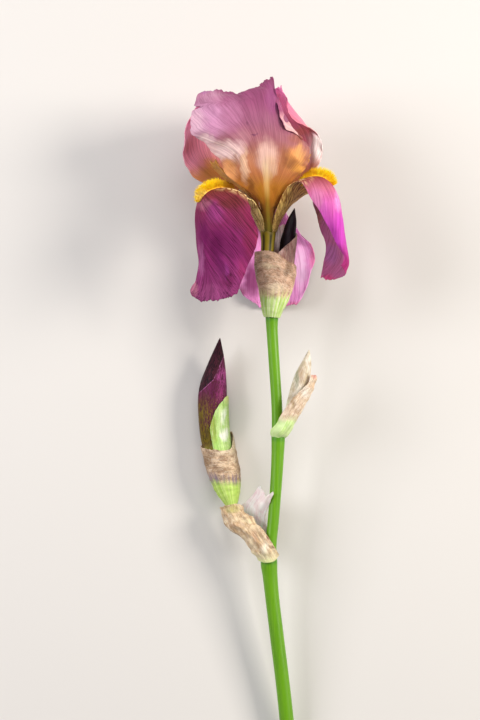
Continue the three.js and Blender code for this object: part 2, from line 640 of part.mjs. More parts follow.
const lobedBractRim = [0.88, 0.96, 0.88, 0.79, 0.84, 0.89, 0.94, 0.99, 0.8, 0.62, 0.58];

const leftBudStations = [
  [-22.5, -163.1, -10.5, 1.5],
  [-24.6, -154, -13.8, 5.3],
  [-27.0, -144, -16.6, 7.6],
  [-30.0, -132, -18.7, 8.2],
  [-32.4, -120, -20.6, 8.6],
  [-33.4, -106, -22.3, 8.8],
  [-33.2, -95, -23.1, 8.6],
  [-32.0, -84, -23.6, 6.9],
  [-30.4, -73, -24.0, 4.0],
  [-29.0, -61.8, -24.2, 0.3],
];
// The furled falls wrap the bud in a spiral: each edge stands a little proud of the petal it overlaps.
function furl(turn, v) {
  const spiral = (3 * (turn + 0.62 * v + 0.1)) % 1;
  const shown = Math.min(1, Math.max(0, 6 * (v - 0.35)), Math.max(0, 8 * (0.97 - v)));
  return 0.07 * shown * (((spiral + 1) % 1) - 0.5);
}

const leftOuterSpathe = {
  off: 2.1, first: -176, last: 176, foot: 0,
  rim: [0.37, 0.39, 0.405, 0.41, 0.395, 0.385, 0.37, 0.345, 0.345, 0.46, 0.49, 0.43, 0.37],
};
const leftInnerSpathe = {
  off: 1.05, first: -10, last: 150, foot: 0.2,
  rim: [0.52, 0.57, 0.61, 0.64, 0.657, 0.64, 0.58, 0.51, 0.42],
};

// ---- Right branch: two bracts round a small closed bud --------------------------------------------------------------

const smallBudStations = [
  [11.4, -110.15, 1.96, 1.5],
  [14.2, -103, 2.9, 3.4],
  [17.6, -94, 3.8, 4.6],
  [20.6, -85, 4.4, 4.6],
  [23.0, -77, 4.8, 3.0],
  [24.6, -69, 5.0, 0.3],
];
const rightOuterBractStations = [
  [6.1, -119.4, 0.1, 5.05, 5.0, -70, 172],
  [8.1, -115.2, 0.8, 5.7, 5.6, -46, 172],
  [12.6, -107, 2.3, 5.4, 5.4, -42, 170],
  [16.6, -98.5, 3.4, 6.0, 6.0, -22, 160],
  [20.2, -91, 4.2, 6.4, 6.2, 7, 140],
  [22.4, -86.5, 4.4, 6.1, 6.0, 27, 115],
  [23.4, -82.5, 4.5, 5.8, 5.8, 48, 100],
];

// ---- The laid stalk --------------------------------------------------------------------------------------------

const tube = part("flower_tube", spindle(tubeStations, { along: 10, sides: 12 }), COLOUR.tube, 0.4);
const bloom = new THREE.Group();
bloom.add(tube, ...TEPALS.map(tepal));
bloom.add(
  beard("beard_left", TEPALS[4], 0.3, 0.565),
  beard("beard_right", TEPALS[3], 0.3, 0.55),
  beard("beard_back", TEPALS[5], 0.26, 0.44),
  styleArm("style_arm_left", STYLE_AZIMUTH.left, 37, 46),
  styleArm("style_arm_right", STYLE_AZIMUTH.right, 27, 50),
  styleArm("style_arm_back", STYLE_AZIMUTH.back, 28, 43, 0.8),
  stamen("stamen_left", STYLE_AZIMUTH.left),
  stamen("stamen_right", STYLE_AZIMUTH.right),
  stamen("stamen_back", STYLE_AZIMUTH.back),
);

const sheet = (surface, along, across) => blade(surface, { along, across, thick: MEMBRANE });
const spathe = new THREE.Group();
spathe.add(
  part("second_bud", spindle(secondBudStations, { along: 12, sides: 10 }), COLOUR.darkBud, 0.5),
  part("spathe_outer", sheet(clasping(spatheOval, outerSpathe), 9, 18), COLOUR.paper),
  part("spathe_inner", sheet(clasping(spatheOval, innerSpathe), 8, 14), COLOUR.paper),
);

const leftBranch = new THREE.Group();
leftBranch.add(
  part("left_bract", sheet(lattice(lowerBractRows), 9, 12), COLOUR.paperPale),
  part("left_lobed_bract", sheet(cutAt(lobedBractRim, lattice(lobedBractRows)), 9, 20), COLOUR.paperPale),
  part("left_spathe_outer", pressedFlat(sheet(clasping(leftBudStations, leftOuterSpathe), 8, 18)), COLOUR.paper),
  part("left_spathe_inner", sheet(clasping(leftBudStations, leftInnerSpathe), 7, 9), COLOUR.greenSpathe),
  part("left_bud", spindle(leftBudStations, { along: 18, sides: 18, relief: furl }), COLOUR.bud, 0.5),
);

const rightBranch = new THREE.Group();
rightBranch.add(
  part("right_bract", sheet(sheath(rightOuterBractStations), 9, 12), COLOUR.paperPale),
  part("right_bud", spindle(smallBudStations, { along: 12, sides: 12 }), COLOUR.paperPale),
);

const iris = new THREE.Group();
iris.add(stalk(), bloom, spathe, leftBranch, rightBranch);
iris.rotation.x = LAY_TILT;
iris.position.set(-PLAN_CENTRE[0], -PLAN_CENTRE[1], -SURFACE);

const laid = new THREE.Group();
laid.add(iris);

export default laid;
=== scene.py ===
# A cut stalk of bearded iris, laid on a pale table and seen from above: one open bloom with yellow beards, a second
# bud in the bloom's spathe, a large bud on the left branch and a small one in its bracts on the right.
import math
import random

import bmesh
import bpy
import numpy as np
from mathutils import Matrix, Vector
from mathutils import noise as perlin


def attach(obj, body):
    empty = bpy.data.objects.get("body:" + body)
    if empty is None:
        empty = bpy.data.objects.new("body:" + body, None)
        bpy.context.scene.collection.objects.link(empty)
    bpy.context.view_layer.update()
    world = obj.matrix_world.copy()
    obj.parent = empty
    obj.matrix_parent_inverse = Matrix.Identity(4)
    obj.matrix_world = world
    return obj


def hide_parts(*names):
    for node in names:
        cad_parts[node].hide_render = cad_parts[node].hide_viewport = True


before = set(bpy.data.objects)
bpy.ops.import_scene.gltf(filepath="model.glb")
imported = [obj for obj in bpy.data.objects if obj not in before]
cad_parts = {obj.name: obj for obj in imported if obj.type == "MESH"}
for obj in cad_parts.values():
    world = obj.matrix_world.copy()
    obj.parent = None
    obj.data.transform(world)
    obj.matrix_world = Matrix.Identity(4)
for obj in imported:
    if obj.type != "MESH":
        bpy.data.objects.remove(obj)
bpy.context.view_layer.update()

# ---- Where the flower lies ----
# The pieces are shaped in the flower's own standing frame, in millimetres: zero at the throat of the bloom, +Y up the
# stalk, +X to the right, +Z out of the front of the bloom. The stalk lies on its back, with the bloom's end raised by
# LAY_TILT, and laid() takes a point from the one frame to the other, in metres.
MM_IN_METRE = 1000
LAY_TILT = math.radians(7)
STALK_END = -333
STALK_END_RADIUS = 4.45
# The flesh of the cut end gives by this much where it rests on the table.
PRESSED = 0.35
SURFACE = STALK_END * math.sin(LAY_TILT) - STALK_END_RADIUS * math.cos(LAY_TILT) + PRESSED
PLAN_CENTRE = (-1.6, -118.9)
LAY_SHIFT = np.array([-PLAN_CENTRE[0], -PLAN_CENTRE[1], -SURFACE])
LAY_TURN = np.array(Matrix.Rotation(LAY_TILT, 3, "X"))


def laid(points):
    """Where points of the standing frame, in millimetres, are when the flower lies on the table, in metres."""
    return (np.asarray(points, dtype=float) @ LAY_TURN.T + LAY_SHIFT) / MM_IN_METRE


# ---- Camera ----
# The camera looks square at the laid stalk from far away, so that it shows the flower as one sees it standing.
VIEW_CENTRE = (-16.8, -75.0, 0.0)
VIEW_HEIGHT = 432.0
VIEW_DISTANCE = 1900.0
SENSOR_HEIGHT = 36.0

camera = bpy.data.objects.new("camera", bpy.data.cameras.new("camera"))
camera.data.sensor_fit = "VERTICAL"
camera.data.sensor_height = SENSOR_HEIGHT
camera.data.lens = SENSOR_HEIGHT * VIEW_DISTANCE / VIEW_HEIGHT
camera.data.clip_end = 20
camera.location = laid([VIEW_CENTRE[0], VIEW_CENTRE[1], VIEW_DISTANCE])
camera.rotation_euler = (LAY_TILT, 0, 0)
bpy.context.collection.objects.link(camera)
bpy.context.scene.camera = camera
bpy.context.scene.view_settings.view_transform = "Standard"

# ---- Table and light ----
# A plain warm white table. The main light is a broad soft one high on the right, which leaves the left flank of the
# stalk dark; a weak one from above, another from the left and a pale surround open the shadows.


def tone(code):
    """An sRGB colour such as "#AABBCC" as linear red, green, blue and alpha."""
    parts = [int(code[i : i + 2], 16) / 255 for i in (1, 3, 5)]
    return [p / 12.92 if p <= 0.04045 else ((p + 0.055) / 1.055) ** 2.4 for p in parts] + [1.0]


def add(tree, kind, links=None, **settings):
    """Adds one node: settings are its own properties, and links gives each input a socket or a value."""
    node = tree.nodes.new("ShaderNode" + kind)
    for key, value in settings.items():
        setattr(node, key, value)
    for socket, value in (links or {}).items():
        if isinstance(value, bpy.types.NodeSocket):
            tree.links.new(value, node.inputs[socket])
        else:
            node.inputs[socket].default_value = value
    return node


TABLE_SIZE = 6.0
table_mesh = bmesh.new()
bmesh.ops.create_grid(table_mesh, x_segments=1, y_segments=1, size=TABLE_SIZE / 2)
table = bpy.data.objects.new("table", bpy.data.meshes.new("table"))
table_mesh.to_mesh(table.data)
table_mesh.free()
bpy.context.collection.objects.link(table)

matt_board = bpy.data.materials.new("matt_white_board")
matt_board.use_nodes = True
board = matt_board.node_tree.nodes["Principled BSDF"]
board.inputs["Base Color"].default_value = tone("#CECBC6")
board.inputs["Roughness"].default_value = 0.85
table.data.materials.append(matt_board)


def soft_light(name, place, target, size, power, colour):
    """A square studio light of that size in metres at place, turned towards target."""
    lamp = bpy.data.objects.new(name, bpy.data.lights.new(name, "AREA"))
    lamp.data.size = size
    lamp.data.energy = power
    lamp.data.color = tone(colour)[:3]
    lamp.location = place
    lamp.rotation_euler = (Vector(target) - Vector(place)).to_track_quat("-Z", "Y").to_euler()
    bpy.context.collection.objects.link(lamp)


bloom_place = (0, 0.1, 0.05)
soft_light("key_light", (1.15, 0.3, 0.85), bloom_place, size=0.5, power=22, colour="#FFF8F0")
soft_light("top_light", (0.1, 0.75, 1.3), bloom_place, size=0.9, power=8, colour="#FFFFFF")
soft_light("fill_light", (-1.05, 0.3, 0.8), bloom_place, size=0.7, power=13, colour="#FAF8FF")

surround = bpy.data.worlds.new("pale_surround")
bpy.context.scene.world = surround
surround.use_nodes = True
surround.node_tree.nodes["Background"].inputs["Color"].default_value = tone("#F2F1F0")
surround.node_tree.nodes["Background"].inputs["Strength"].default_value = 0.28

# ---- Stalk ----
# The flowering stem with the two short branches that grew from its nodes, one fleshy piece. Its skin is smooth, waxy
# green with fine lengthwise lines, darker and a little swollen where a bract is joined on. The cut end shows pith.
# Each station of a stem or bud is the centre and the radius there.
STEM_STATIONS = [
    [15, STALK_END, 0, STALK_END_RADIUS],
    [13.6, -317, 0, 4.4],
    [11.2, -291, 0, 4.3],
    [8.6, -267, 0, 4.2],
    [5.6, -243, 0, 4.2],
    [2.7, -219, 0, 4.2],
    [1.3, -205, 0, 4.5],
    [0.6, -196, 0, 5.0],
    [1.5, -186, 0, 3.7],
    [3.2, -171, 0, 3.45],
    [5.0, -147, 0, 3.6],
    [5.8, -132, 0, 3.8],
    [6.1, -121, 0, 4.1],
    [5.6, -113, 0, 3.4],
    [5.2, -100, 0, 3.3],
    [3.9, -80, 0, 3.3],
    [2.5, -58, 0, 3.45],
    [2.3, -49, 0, 3.9],
    [2.2, -46.2, 0, 3.3],
]
LEFT_BRANCH_STATIONS = [
    [0.2, -197, 0, 3.2],
    [-4.5, -189, -1.2, 3.4],
    [-11, -180, -3.4, 3.3],
    [-17.5, -171.5, -6.6, 3.2],
    [-22.2, -163.9, -10.2, 2.9],
]
RIGHT_BRANCH_STATIONS = [
    [6.3, -121, 0.2, 2.6],
    [8.4, -116, 0.9, 2.6],
    [11.2, -110.5, 1.9, 2.4],
]


def blend_weights(count, share):
    """For each share of the way along count points, the weight of each point in a smooth curve through them all."""
    share = np.clip(np.asarray(share, dtype=float), 0, 1) * (count - 1)
    low = np.minimum(share.astype(int), count - 2)
    t = share - low
    rows = np.arange(len(t))
    weights = np.zeros((len(t), count + 2))
    weights[rows, low] = -0.5 * t + t**2 - 0.5 * t**3
    weights[rows, low + 1] = 1 - 2.5 * t**2 + 1.5 * t**3
    weights[rows, low + 2] = 0.5 * t + 2 * t**2 - 1.5 * t**3
    weights[rows, low + 3] = -0.5 * t**2 + 0.5 * t**3
    # The curve runs on straight past its first and last points.
    weights[:, 1] += 2 * weights[:, 0]
    weights[:, 2] -= weights[:, 0]
    weights[:, -2] += 2 * weights[:, -1]
    weights[:, -3] -= weights[:, -1]
    return weights[:, 1:-1]


def along(points, share):
    """The points at those shares of the way along a smooth curve through the given ones."""
    return blend_weights(len(points), share) @ np.asarray(points, dtype=float)


def directions(points, share):
    """The directions square to a curve that are nearest to the right and to the front."""
    step = 1e-3
    tangent = along(points, np.minimum(share + step, 1)) - along(points, np.maximum(share - step, 0))
    tangent /= np.linalg.norm(tangent, axis=1, keepdims=True)
    front = np.array([0, 0, 1]) - tangent * tangent[:, 2:3]
    front /= np.linalg.norm(front, axis=1, keepdims=True)
    return np.cross(tangent, front), front


def spindle(stations, relief=None):
    """The skin of a stem or bud: u runs once round it from the front to the right, and v along it. relief is the
    share of the radius by which it stands out."""
    stations = np.asarray(stations, dtype=float)

    def surface(u, v):
        right, front = directions(stations[:, :3], v)
        radius = along(stations[:, 3:4], v)
        if relief:
            radius = radius * (1 + relief(u, v))[:, None]
        turn = 2 * np.pi * u[:, None]
        return along(stations[:, :3], v) + radius * (np.sin(turn) * right + np.cos(turn) * front)

    return surface


def skin(name, surface, across, lengthwise, closed=False):
    """A fine sheet on a surface given by u across and v along. A closed one joins round into a tube with ends."""
    sheet = bmesh.new()
    sheet.loops.layers.uv.new("UVMap")
    bmesh.ops.create_grid(sheet, x_segments=across, y_segments=lengthwise, size=0.5, calc_uvs=True)
    plan = np.array([vert.co[:2] for vert in sheet.verts]) + 0.5
    for vert, place in zip(sheet.verts, laid(surface(plan[:, 0], plan[:, 1]))):
        vert.co = place
    if closed:
        bmesh.ops.remove_doubles(sheet, verts=sheet.verts, dist=2e-6)
        bmesh.ops.holes_fill(sheet, edges=sheet.edges, sides=0)
        bmesh.ops.triangulate(sheet, faces=[face for face in sheet.faces if len(face.verts) > 4])
    for face in sheet.faces:
        face.smooth = True
    piece = bpy.data.objects.new(name, bpy.data.meshes.new(name))
    sheet.to_mesh(piece.data)
    sheet.free()
    bpy.context.collection.objects.link(piece)
    return piece


def dress(piece, *materials):
    """Gives a piece its material, or a sheet the materials of its two faces."""
    for material in materials:
        piece.data.materials.append(material)


def kept(piece, slot, *nodes):
    """The piece is part of the flower: it stands for those nodes of the frame, which are hidden. slot is not used."""
    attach(piece, "root")
    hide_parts(*nodes)
    return piece


def stand_position(tree):
    """A point's place in the standing frame, in millimetres, as a vector socket."""
    place = add(tree, "TexCoord").outputs["Object"]
    back = -(LAY_TURN.T @ LAY_SHIFT)
    mapping = add(tree, "Mapping", {"Vector": place, "Location": back, "Rotation": (-LAY_TILT, 0, 0)})
    mapping.inputs["Scale"].default_value = (MM_IN_METRE, MM_IN_METRE, MM_IN_METRE)
    return mapping.outputs["Vector"]


stem = skin("flowering_stem", spindle(STEM_STATIONS), 40, 260, closed=True)
branches = [
    skin("left_branch", spindle(LEFT_BRANCH_STATIONS), 32, 40, closed=True),
    skin("right_branch", spindle(RIGHT_BRANCH_STATIONS), 32, 16, closed=True),
]
# The three are grown together: one closed skin is drawn over them, and the joints are smoothed as flesh is.
with bpy.context.temp_override(active_object=stem, selected_editable_objects=[stem, *branches]):
    bpy.ops.object.join()
SKIN_GRID = 0.00045
grown = stem.modifiers.new("grown_together", "REMESH")
grown.mode = "VOXEL"
grown.voxel_size = SKIN_GRID
grown.use_smooth_shade = True
smoothed = stem.modifiers.new("smoothed", "SMOOTH")
smoothed.factor = 0.5
smoothed.iterations = 6
finished = bpy.data.meshes.new_from_object(stem.evaluated_get(bpy.context.evaluated_depsgraph_get()))
stem.modifiers.clear()
stem.data = finished
for vertex in stem.data.vertices:
    vertex.co.z = max(vertex.co.z, 0.0)
kept(stem, "green_stalk", "stalk")


def surface_of(name, roughness, soft=0.0, sheen=0.0, gloss=0.5):
    """A new material and its shader. soft is how much light goes on through the flesh of the piece, sheen how far its
    fine down lights up, and gloss how strongly it mirrors the light."""
    material = bpy.data.materials.new(name)
    material.use_nodes = True
    shader = material.node_tree.nodes["Principled BSDF"]
    shader.inputs["Roughness"].default_value = roughness
    shader.inputs["IOR"].default_value = 1.42
    shader.inputs["Specular IOR Level"].default_value = gloss
    shader.inputs["Subsurface Weight"].default_value = soft
    shader.inputs["Subsurface Radius"].default_value = (1.0, 0.8, 0.85)
    shader.inputs["Subsurface Scale"].default_value = 0.0005
    shader.inputs["Sheen Weight"].default_value = sheen
    shader.inputs["Sheen Roughness"].default_value = 0.6
    return material, shader


def mixed(tree, factor, under, over, blend="MIX"):
    """One colour laid over another: factor, under and over are sockets or values."""
    links = {"Factor": factor, "A": under, "B": over}
    node = add(tree, "Mix", data_type="RGBA", blend_type=blend)
    for key, socket in zip(("Factor", "A", "B"), (0, 6, 7)):
        value = links[key]
        if isinstance(value, bpy.types.NodeSocket):
            tree.links.new(value, node.inputs[socket])
        else:
            node.inputs[socket].default_value = value
    return node.outputs[2]


def banded(tree, value, low, high, steps="SMOOTHSTEP"):
    """How far a value has risen from low to high, from 0 to 1."""
    node = add(tree, "MapRange", {"Value": value, "From Min": low, "From Max": high}, interpolation_type=steps)
    return node.outputs["Result"]


# Living stem: waxy green skin over wet flesh, with lengthwise lines about a millimetre apart.
waxy_green, shader = surface_of("waxy_green_stem", 0.36, soft=0.12)
tree = waxy_green.node_tree
place = stand_position(tree)
lines = add(tree, "VectorMath", {0: place, 1: (1.0, 0.02, 1.0)}, operation="MULTIPLY").outputs["Vector"]
fibres = add(tree, "TexNoise", {"Vector": lines, "Scale": 0.9, "Detail": 4.0, "Roughness": 0.6}).outputs["Fac"]
patches = add(tree, "TexNoise", {"Vector": place, "Scale": 0.05, "Detail": 2.0}).outputs["Fac"]
green = mixed(tree, banded(tree, fibres, 0.3, 0.75), tone("#568C08"), tone("#6AA014"))
green = mixed(tree, banded(tree, patches, 0.4, 0.7), green, tone("#62980C"))
height = add(tree, "SeparateXYZ", {"Vector": place}).outputs["Y"]
for node_height, reach in ((-195.5, 3.0), (-122.0, 3.0), (-49.5, 3.5)):
    off = add(tree, "Math", {0: height, 1: -node_height}, operation="ADD").outputs[0]
    away = add(tree, "Math", {0: off}, operation="ABSOLUTE").outputs[0]
    green = mixed(tree, banded(tree, away, reach, 0.3), green, tone("#4A860A"))
cut = banded(tree, height, STALK_END + 0.9, STALK_END + 0.3)
green = mixed(tree, cut, green, tone("#DDE6B4"))
tree.links.new(green, shader.inputs["Base Color"])
bump = add(tree, "Bump", {"Height": fibres, "Strength": 0.35, "Distance": 0.00015})
tree.links.new(bump.outputs["Normal"], shader.inputs["Normal"])
dress(stem, waxy_green)

# ---- Flower tube ----
# The column under the bloom, which holds the ovary: one olive, fleshy piece with six rounded ribs. The tepals, style
# arms and stamens all stand on its rim.
STALK_TOP = -46.2
SEAT = 0.3
TUBE_TOP = 1.1
TUBE_STATIONS = [
    [1.0, STALK_TOP + SEAT, 0, 1.4],
    [0.8, -39, -0.2, 2.4],
    [0.1, -27, -0.3, 4.0],
    [-0.5, -15, -0.3, 4.0],
    [-0.2, -6, 0, 4.1],
    [0, -2.5, 0, 4.4],
    [0, TUBE_TOP, 0, 4.8],
    [0, TUBE_TOP + 1.8, 0, 4.5],
]


def six_ribs(u, v):
    """The relief of the tube: six rounded ribs with grooves between them."""
    return 0.075 * (np.abs(np.cos(6 * np.pi * (u + 0.02))) - 0.85) * np.clip(4 * v, 0, 1)


tube = skin("ribbed_tube", spindle(TUBE_STATIONS, six_ribs), 84, 90, closed=True)
kept(tube, "flower_tube", "flower_tube")

# Fleshy olive skin, with painted shade in the grooves between the ribs and a painted highlight along their crests.
olive_flesh, shader = surface_of("olive_flesh", 0.4, soft=0.15)
tree = olive_flesh.node_tree
around = add(tree, "SeparateXYZ", {"Vector": add(tree, "TexCoord").outputs["UV"]})
turn = add(tree, "Math", {0: around.outputs["X"], 1: 6 * math.pi, 2: 0.12 * math.pi}, operation="MULTIPLY_ADD")
crest = add(tree, "Math", {0: turn.outputs[0]}, operation="COSINE").outputs[0]
crest = add(tree, "Math", {0: crest}, operation="ABSOLUTE").outputs[0]
olive = mixed(tree, banded(tree, crest, 0.1, 0.9), tone("#3A3406"), tone("#988420"))
height = add(tree, "SeparateXYZ", {"Vector": stand_position(tree)}).outputs["Y"]
olive = mixed(tree, banded(tree, height, -1.0, 2.2), olive, tone("#84701C"))
tree.links.new(olive, shader.inputs["Base Color"])
dress(tube, olive_flesh)

# ---- Standards ----
# The three upright petals of the bloom: thin, soft and ruffled at the margin, each on a narrow channelled claw. The
# front one is torn at its left edge and folds over itself on the lower left; the other two curl in behind it.
TEPAL_SEAT = TUBE_TOP + SEAT + 0.25
TEPAL_RADIUS = 4.0
FOOT_HALF = 2.5
TEPAL_FOOT = (TEPAL_RADIUS, TEPAL_SEAT, FOOT_HALF, 0.2)
AZIMUTH = {"front": 0, "right": 60, "back_right": 120, "back": 180, "back_left": -120, "left": -60}
PETAL_THICKNESS = 0.45


def round_axis(azimuth, radius, height, sideways=0.0):
    """A point of the bloom by its direction round the axis, its distance from it, its height and an offset."""
    a = math.radians(azimuth)
    x = math.sin(a) * radius + math.cos(a) * sideways
    z = math.cos(a) * radius - math.sin(a) * sideways
    return [x, height, z]


def claw(azimuth, stations, columns):
    """Rows of points across a channelled claw. Each station is its radius, height, half width and depth."""
    rows = []
    for radius, height, half, depth in stations:
        shares = [2 * i / (columns - 1) - 1 for i in range(columns)]
        rows.append([round_axis(azimuth, radius - depth * s * s, height, s * half) for s in shares])
    return rows


# Each row of points runs across the petal. The rows go from its foot to its tip.
FRONT_STANDARD = claw(AZIMUTH["front"], [TEPAL_FOOT, (8.2, 12, 3.0, 1.2), (14.6, 23.5, 7.6, 2.6)], 7) + [
    [[-25, 34.5, 20], [-14, 35, 21.5], [-6.5, 36, 22], [0.5, 36, 21.5],
     [6, 36, 20.5], [11.5, 35, 18.5], [17, 33.5, 16.5]],
    [[-28.5, 43, 18], [-17, 46, 26], [-8, 47, 26.5], [0.5, 48, 26], [8, 48, 23.5], [15, 46, 24], [24, 43.5, 18]],
    [[-36, 51, 18], [-22, 55, 28], [-10, 57, 29], [0, 58, 28], [8, 58, 26], [16, 58, 21], [22.5, 55, 17]],
    [[-45, 58.5, 17], [-27, 63, 27], [-13, 66, 29], [-1, 67, 28], [6, 65, 24], [13, 65, 17.5], [10, 61.5, 22.5]],
    [[-47.5, 69, 16], [-31, 72, 25], [-15, 75, 27], [-2, 76, 26], [3, 74, 22], [8.5, 73, 17], [6, 69, 21]],
    [[-44, 79, 14], [-32, 81, 20], [-16, 81, 22], [-4, 85, 21], [1, 84, 18.5], [4.5, 84, 15], [4, 80, 17]],
    [[-38, 87, 11], [-28, 86, 14], [-17, 84, 16], [-8, 88, 16], [-3, 93, 15], [1, 95.5, 13], [4, 93.5, 11]],
]
BACK_RIGHT_STANDARD = claw(AZIMUTH["back_right"], [TEPAL_FOOT, (9.2, 12, 3.2, 1.1)], 5) + [
    [[19, 24, -1.5], [18.5, 25, -5.5], [16, 25.5, -9.5], [12, 25, -12.5], [6, 24, -14.5]],
    [[27.5, 38, -1], [25, 39, -4.5], [24, 40, -15], [17, 40, -21], [4, 38, -23.5]],
    [[32.5, 48, -1], [27, 51, -3], [27, 53, -18], [17, 53, -25], [1, 51, -27]],
    [[31.5, 58.5, -1], [26, 60.5, -3.5], [26, 63, -17], [15, 65, -23.5], [0, 64, -25]],
    [[20, 66, 2], [22, 68, -6], [19, 71, -14], [11, 74, -18], [-1, 74, -19.5]],
    [[11.5, 75, 4], [13, 78, -3], [12, 81, -9], [7, 83, -13], [-1, 83, -14.5]],
    [[8, 88, 3], [8, 90, -2], [6, 90, -7], [2, 89, -9.5], [-3, 87, -10]],
]
BACK_LEFT_STANDARD = claw(AZIMUTH["back_left"], [TEPAL_FOOT, (9.2, 12, 3.2, 1.1)], 5) + [
    [[-5, 24, -18], [-12, 25, -14], [-16, 25.5, -9.5], [-19.5, 25, -5.5], [-21, 24, -1]],
    [[0, 37, -29], [-14, 39, -24.5], [-26, 39, -16], [-34, 37, -9], [-42, 33, -2]],
    [[4, 50, -33], [-16, 52, -30], [-32, 52, -20], [-42, 50, -12], [-51, 48, -4]],
    [[6, 63, -32], [-14, 66, -28.5], [-31, 66, -19], [-41, 64, -12], [-50, 61, -5]],
    [[5, 75, -27], [-10, 78, -23], [-25, 79, -15], [-36, 77, -10], [-45.5, 74, -5]],
    [[2, 84, -20], [-10, 86.5, -17], [-20, 82, -11.5], [-30, 83, -8], [-39, 83, -5]],
]


def lattice(rows):
    """The smooth surface through rows of points, each row from margin to margin."""
    net = np.asarray(rows, dtype=float)

    def surface(u, v):
        return np.einsum("nr,nc,rcd->nd", blend_weights(net.shape[0], v), blend_weights(net.shape[1], u), net)

    return surface


def facing(surface, u, v):
    """The direction square to a surface, on the side that takes the first of its sheet's two materials."""
    step = 2e-3
    across = surface(np.minimum(u + step, 1), v) - surface(np.maximum(u - step, 0), v)
    lengthwise = surface(u, np.minimum(v + step, 1)) - surface(u, np.maximum(v - step, 0))
    square = np.cross(across, lengthwise)
    return square / np.maximum(np.linalg.norm(square, axis=1, keepdims=True), 1e-9)


def margin_waves(height, count, skew, phase, power=2):
    """How far the waves of a margin lift the petal: nothing along its midrib, most at its edges and its tip."""

    def lift(u, v, _):
        side = np.abs(2 * u - 1) ** power * np.minimum(1, 2 * v)
        edge = np.maximum(side, np.maximum(0, 4 * v - 3) ** power)
        swell = np.sin(2 * np.pi * (count * v + skew * u) + phase)
        ripple = np.sin(2 * np.pi * (1.7 * count * v - 1.3 * skew * u) + 2 * phase)
        return height * edge * (0.65 * swell + 0.35 * ripple)

    return lift


def frill(height, count, seed):
    """The uneven crimping of the outermost few millimetres of a petal's margin."""

    def lift(u, v, _):
        from_edge = np.minimum(np.minimum(u, 1 - u) * 1.6, 1 - v)
        near = np.exp(-((from_edge / 0.07) ** 2)) * np.clip(4 * v - 0.8, 0, 1)
        run = count * (v + np.where(v > 0.9, 1.0, 0.0) * u)
        sides = np.where(u > 0.5, 9.0, 0.0)
        crimp = [
            perlin.noise(Vector((0.8 * r, s, seed))) + 0.7 * perlin.noise(Vector((2.1 * r, s, seed + 5)))
            for r, s in zip(run, sides)
        ]
        return 1.8 * height * near * np.array(crimp)

    return lift


FOLD_TAPER = 7.0


def fold(path, height, left_reach, right_reach):
    """A fold along a path seen from the front. The sheet rises to it over one reach on its left and the other on its
    right, and the fold grows from nothing over FOLD_TAPER millimetres at either end."""
    path = np.asarray(path, dtype=float)

    def lift(u, v, points):
        best = np.full(len(points), 1e9)
        signed = np.zeros(len(points))
        for first, last in zip(path[:-1], path[1:]):
            line = last - first
            offset = points[:, :2] - first
            share = np.clip(offset @ line / (line @ line), 0, 1)
            gap = offset - share[:, None] * line
            distance = np.hypot(gap[:, 0], gap[:, 1])
            nearer = distance < best
            best = np.where(nearer, distance, best)
            signed = np.where(nearer, line[0] * offset[:, 1] - line[1] * offset[:, 0], signed)
        reach = np.where(signed > 0, left_reach, right_reach)
        start = np.hypot(*(points[:, :2] - path[0]).T)
        end = np.hypot(*(points[:, :2] - path[-1]).T)
        taper = np.clip(np.minimum(start, end) / FOLD_TAPER, 0, 1)
        return height * taper * np.exp(-((best / reach) ** 1.5))

    return lift


def crumple(height, size, seed):
    """Soft uneven swelling of a sheet, with lumps of about that size in millimetres."""

    def lift(u, v, points):
        return np.array([height * perlin.noise(Vector(p) / size + Vector((seed, 0, 0))) for p in points])

    return lift


def moved(surface, *lifts):
    """A surface raised by all of those lifts together, square to the sheet."""

    def higher(u, v):
        points = surface(u, v)
        height = sum(lift(u, v, points) for lift in lifts)
        return points + facing(surface, u, v) * height[:, None]

    return higher


def notched(surface, seed, depth=0.012):
    """The sheet with its outline cut a little unevenly, as a petal's margin is."""

    def trimmed(u, v):
        side = [perlin.noise(Vector((14 * a, seed, 0))) + 0.6 * perlin.noise(Vector((45 * a, 3, seed))) for a in v]
        top = [perlin.noise(Vector((11 * a, 7, seed))) + 0.6 * perlin.noise(Vector((38 * a, seed, 9))) for a in u]
        inner = 0.5 + (u - 0.5) * (1 - depth * (1 + np.array(side)) * np.clip(3 * v - 0.6, 0, 1))
        lower = v * (1 - depth * (1 + np.array(top)) * np.clip(4 * v - 3, 0, 1))
        return surface(inner, lower)

    return trimmed


def torn(surface, height, depth, width):
    """The sheet with a short tear in its left margin, at a share of its length."""

    def parted(u, v):
        gap = depth * np.exp(-(((v - height) / width) ** 2)) * np.clip(3 * (0.5 - u), 0, 1)
        return surface(u + gap * (0.5 - u), v)

    return parted


def petal(name, node, surface, slot, across=110, lengthwise=140):
    """A petal or bract: a sheet with a petal's thickness, whose two faces each take a material of their own."""
    piece = skin(name, surface, across, lengthwise)
    body = piece.modifiers.new("thickness", "SOLIDIFY")
    body.thickness = PETAL_THICKNESS / MM_IN_METRE
    body.offset = 0
    body.material_offset = 1
    return kept(piece, slot, node)


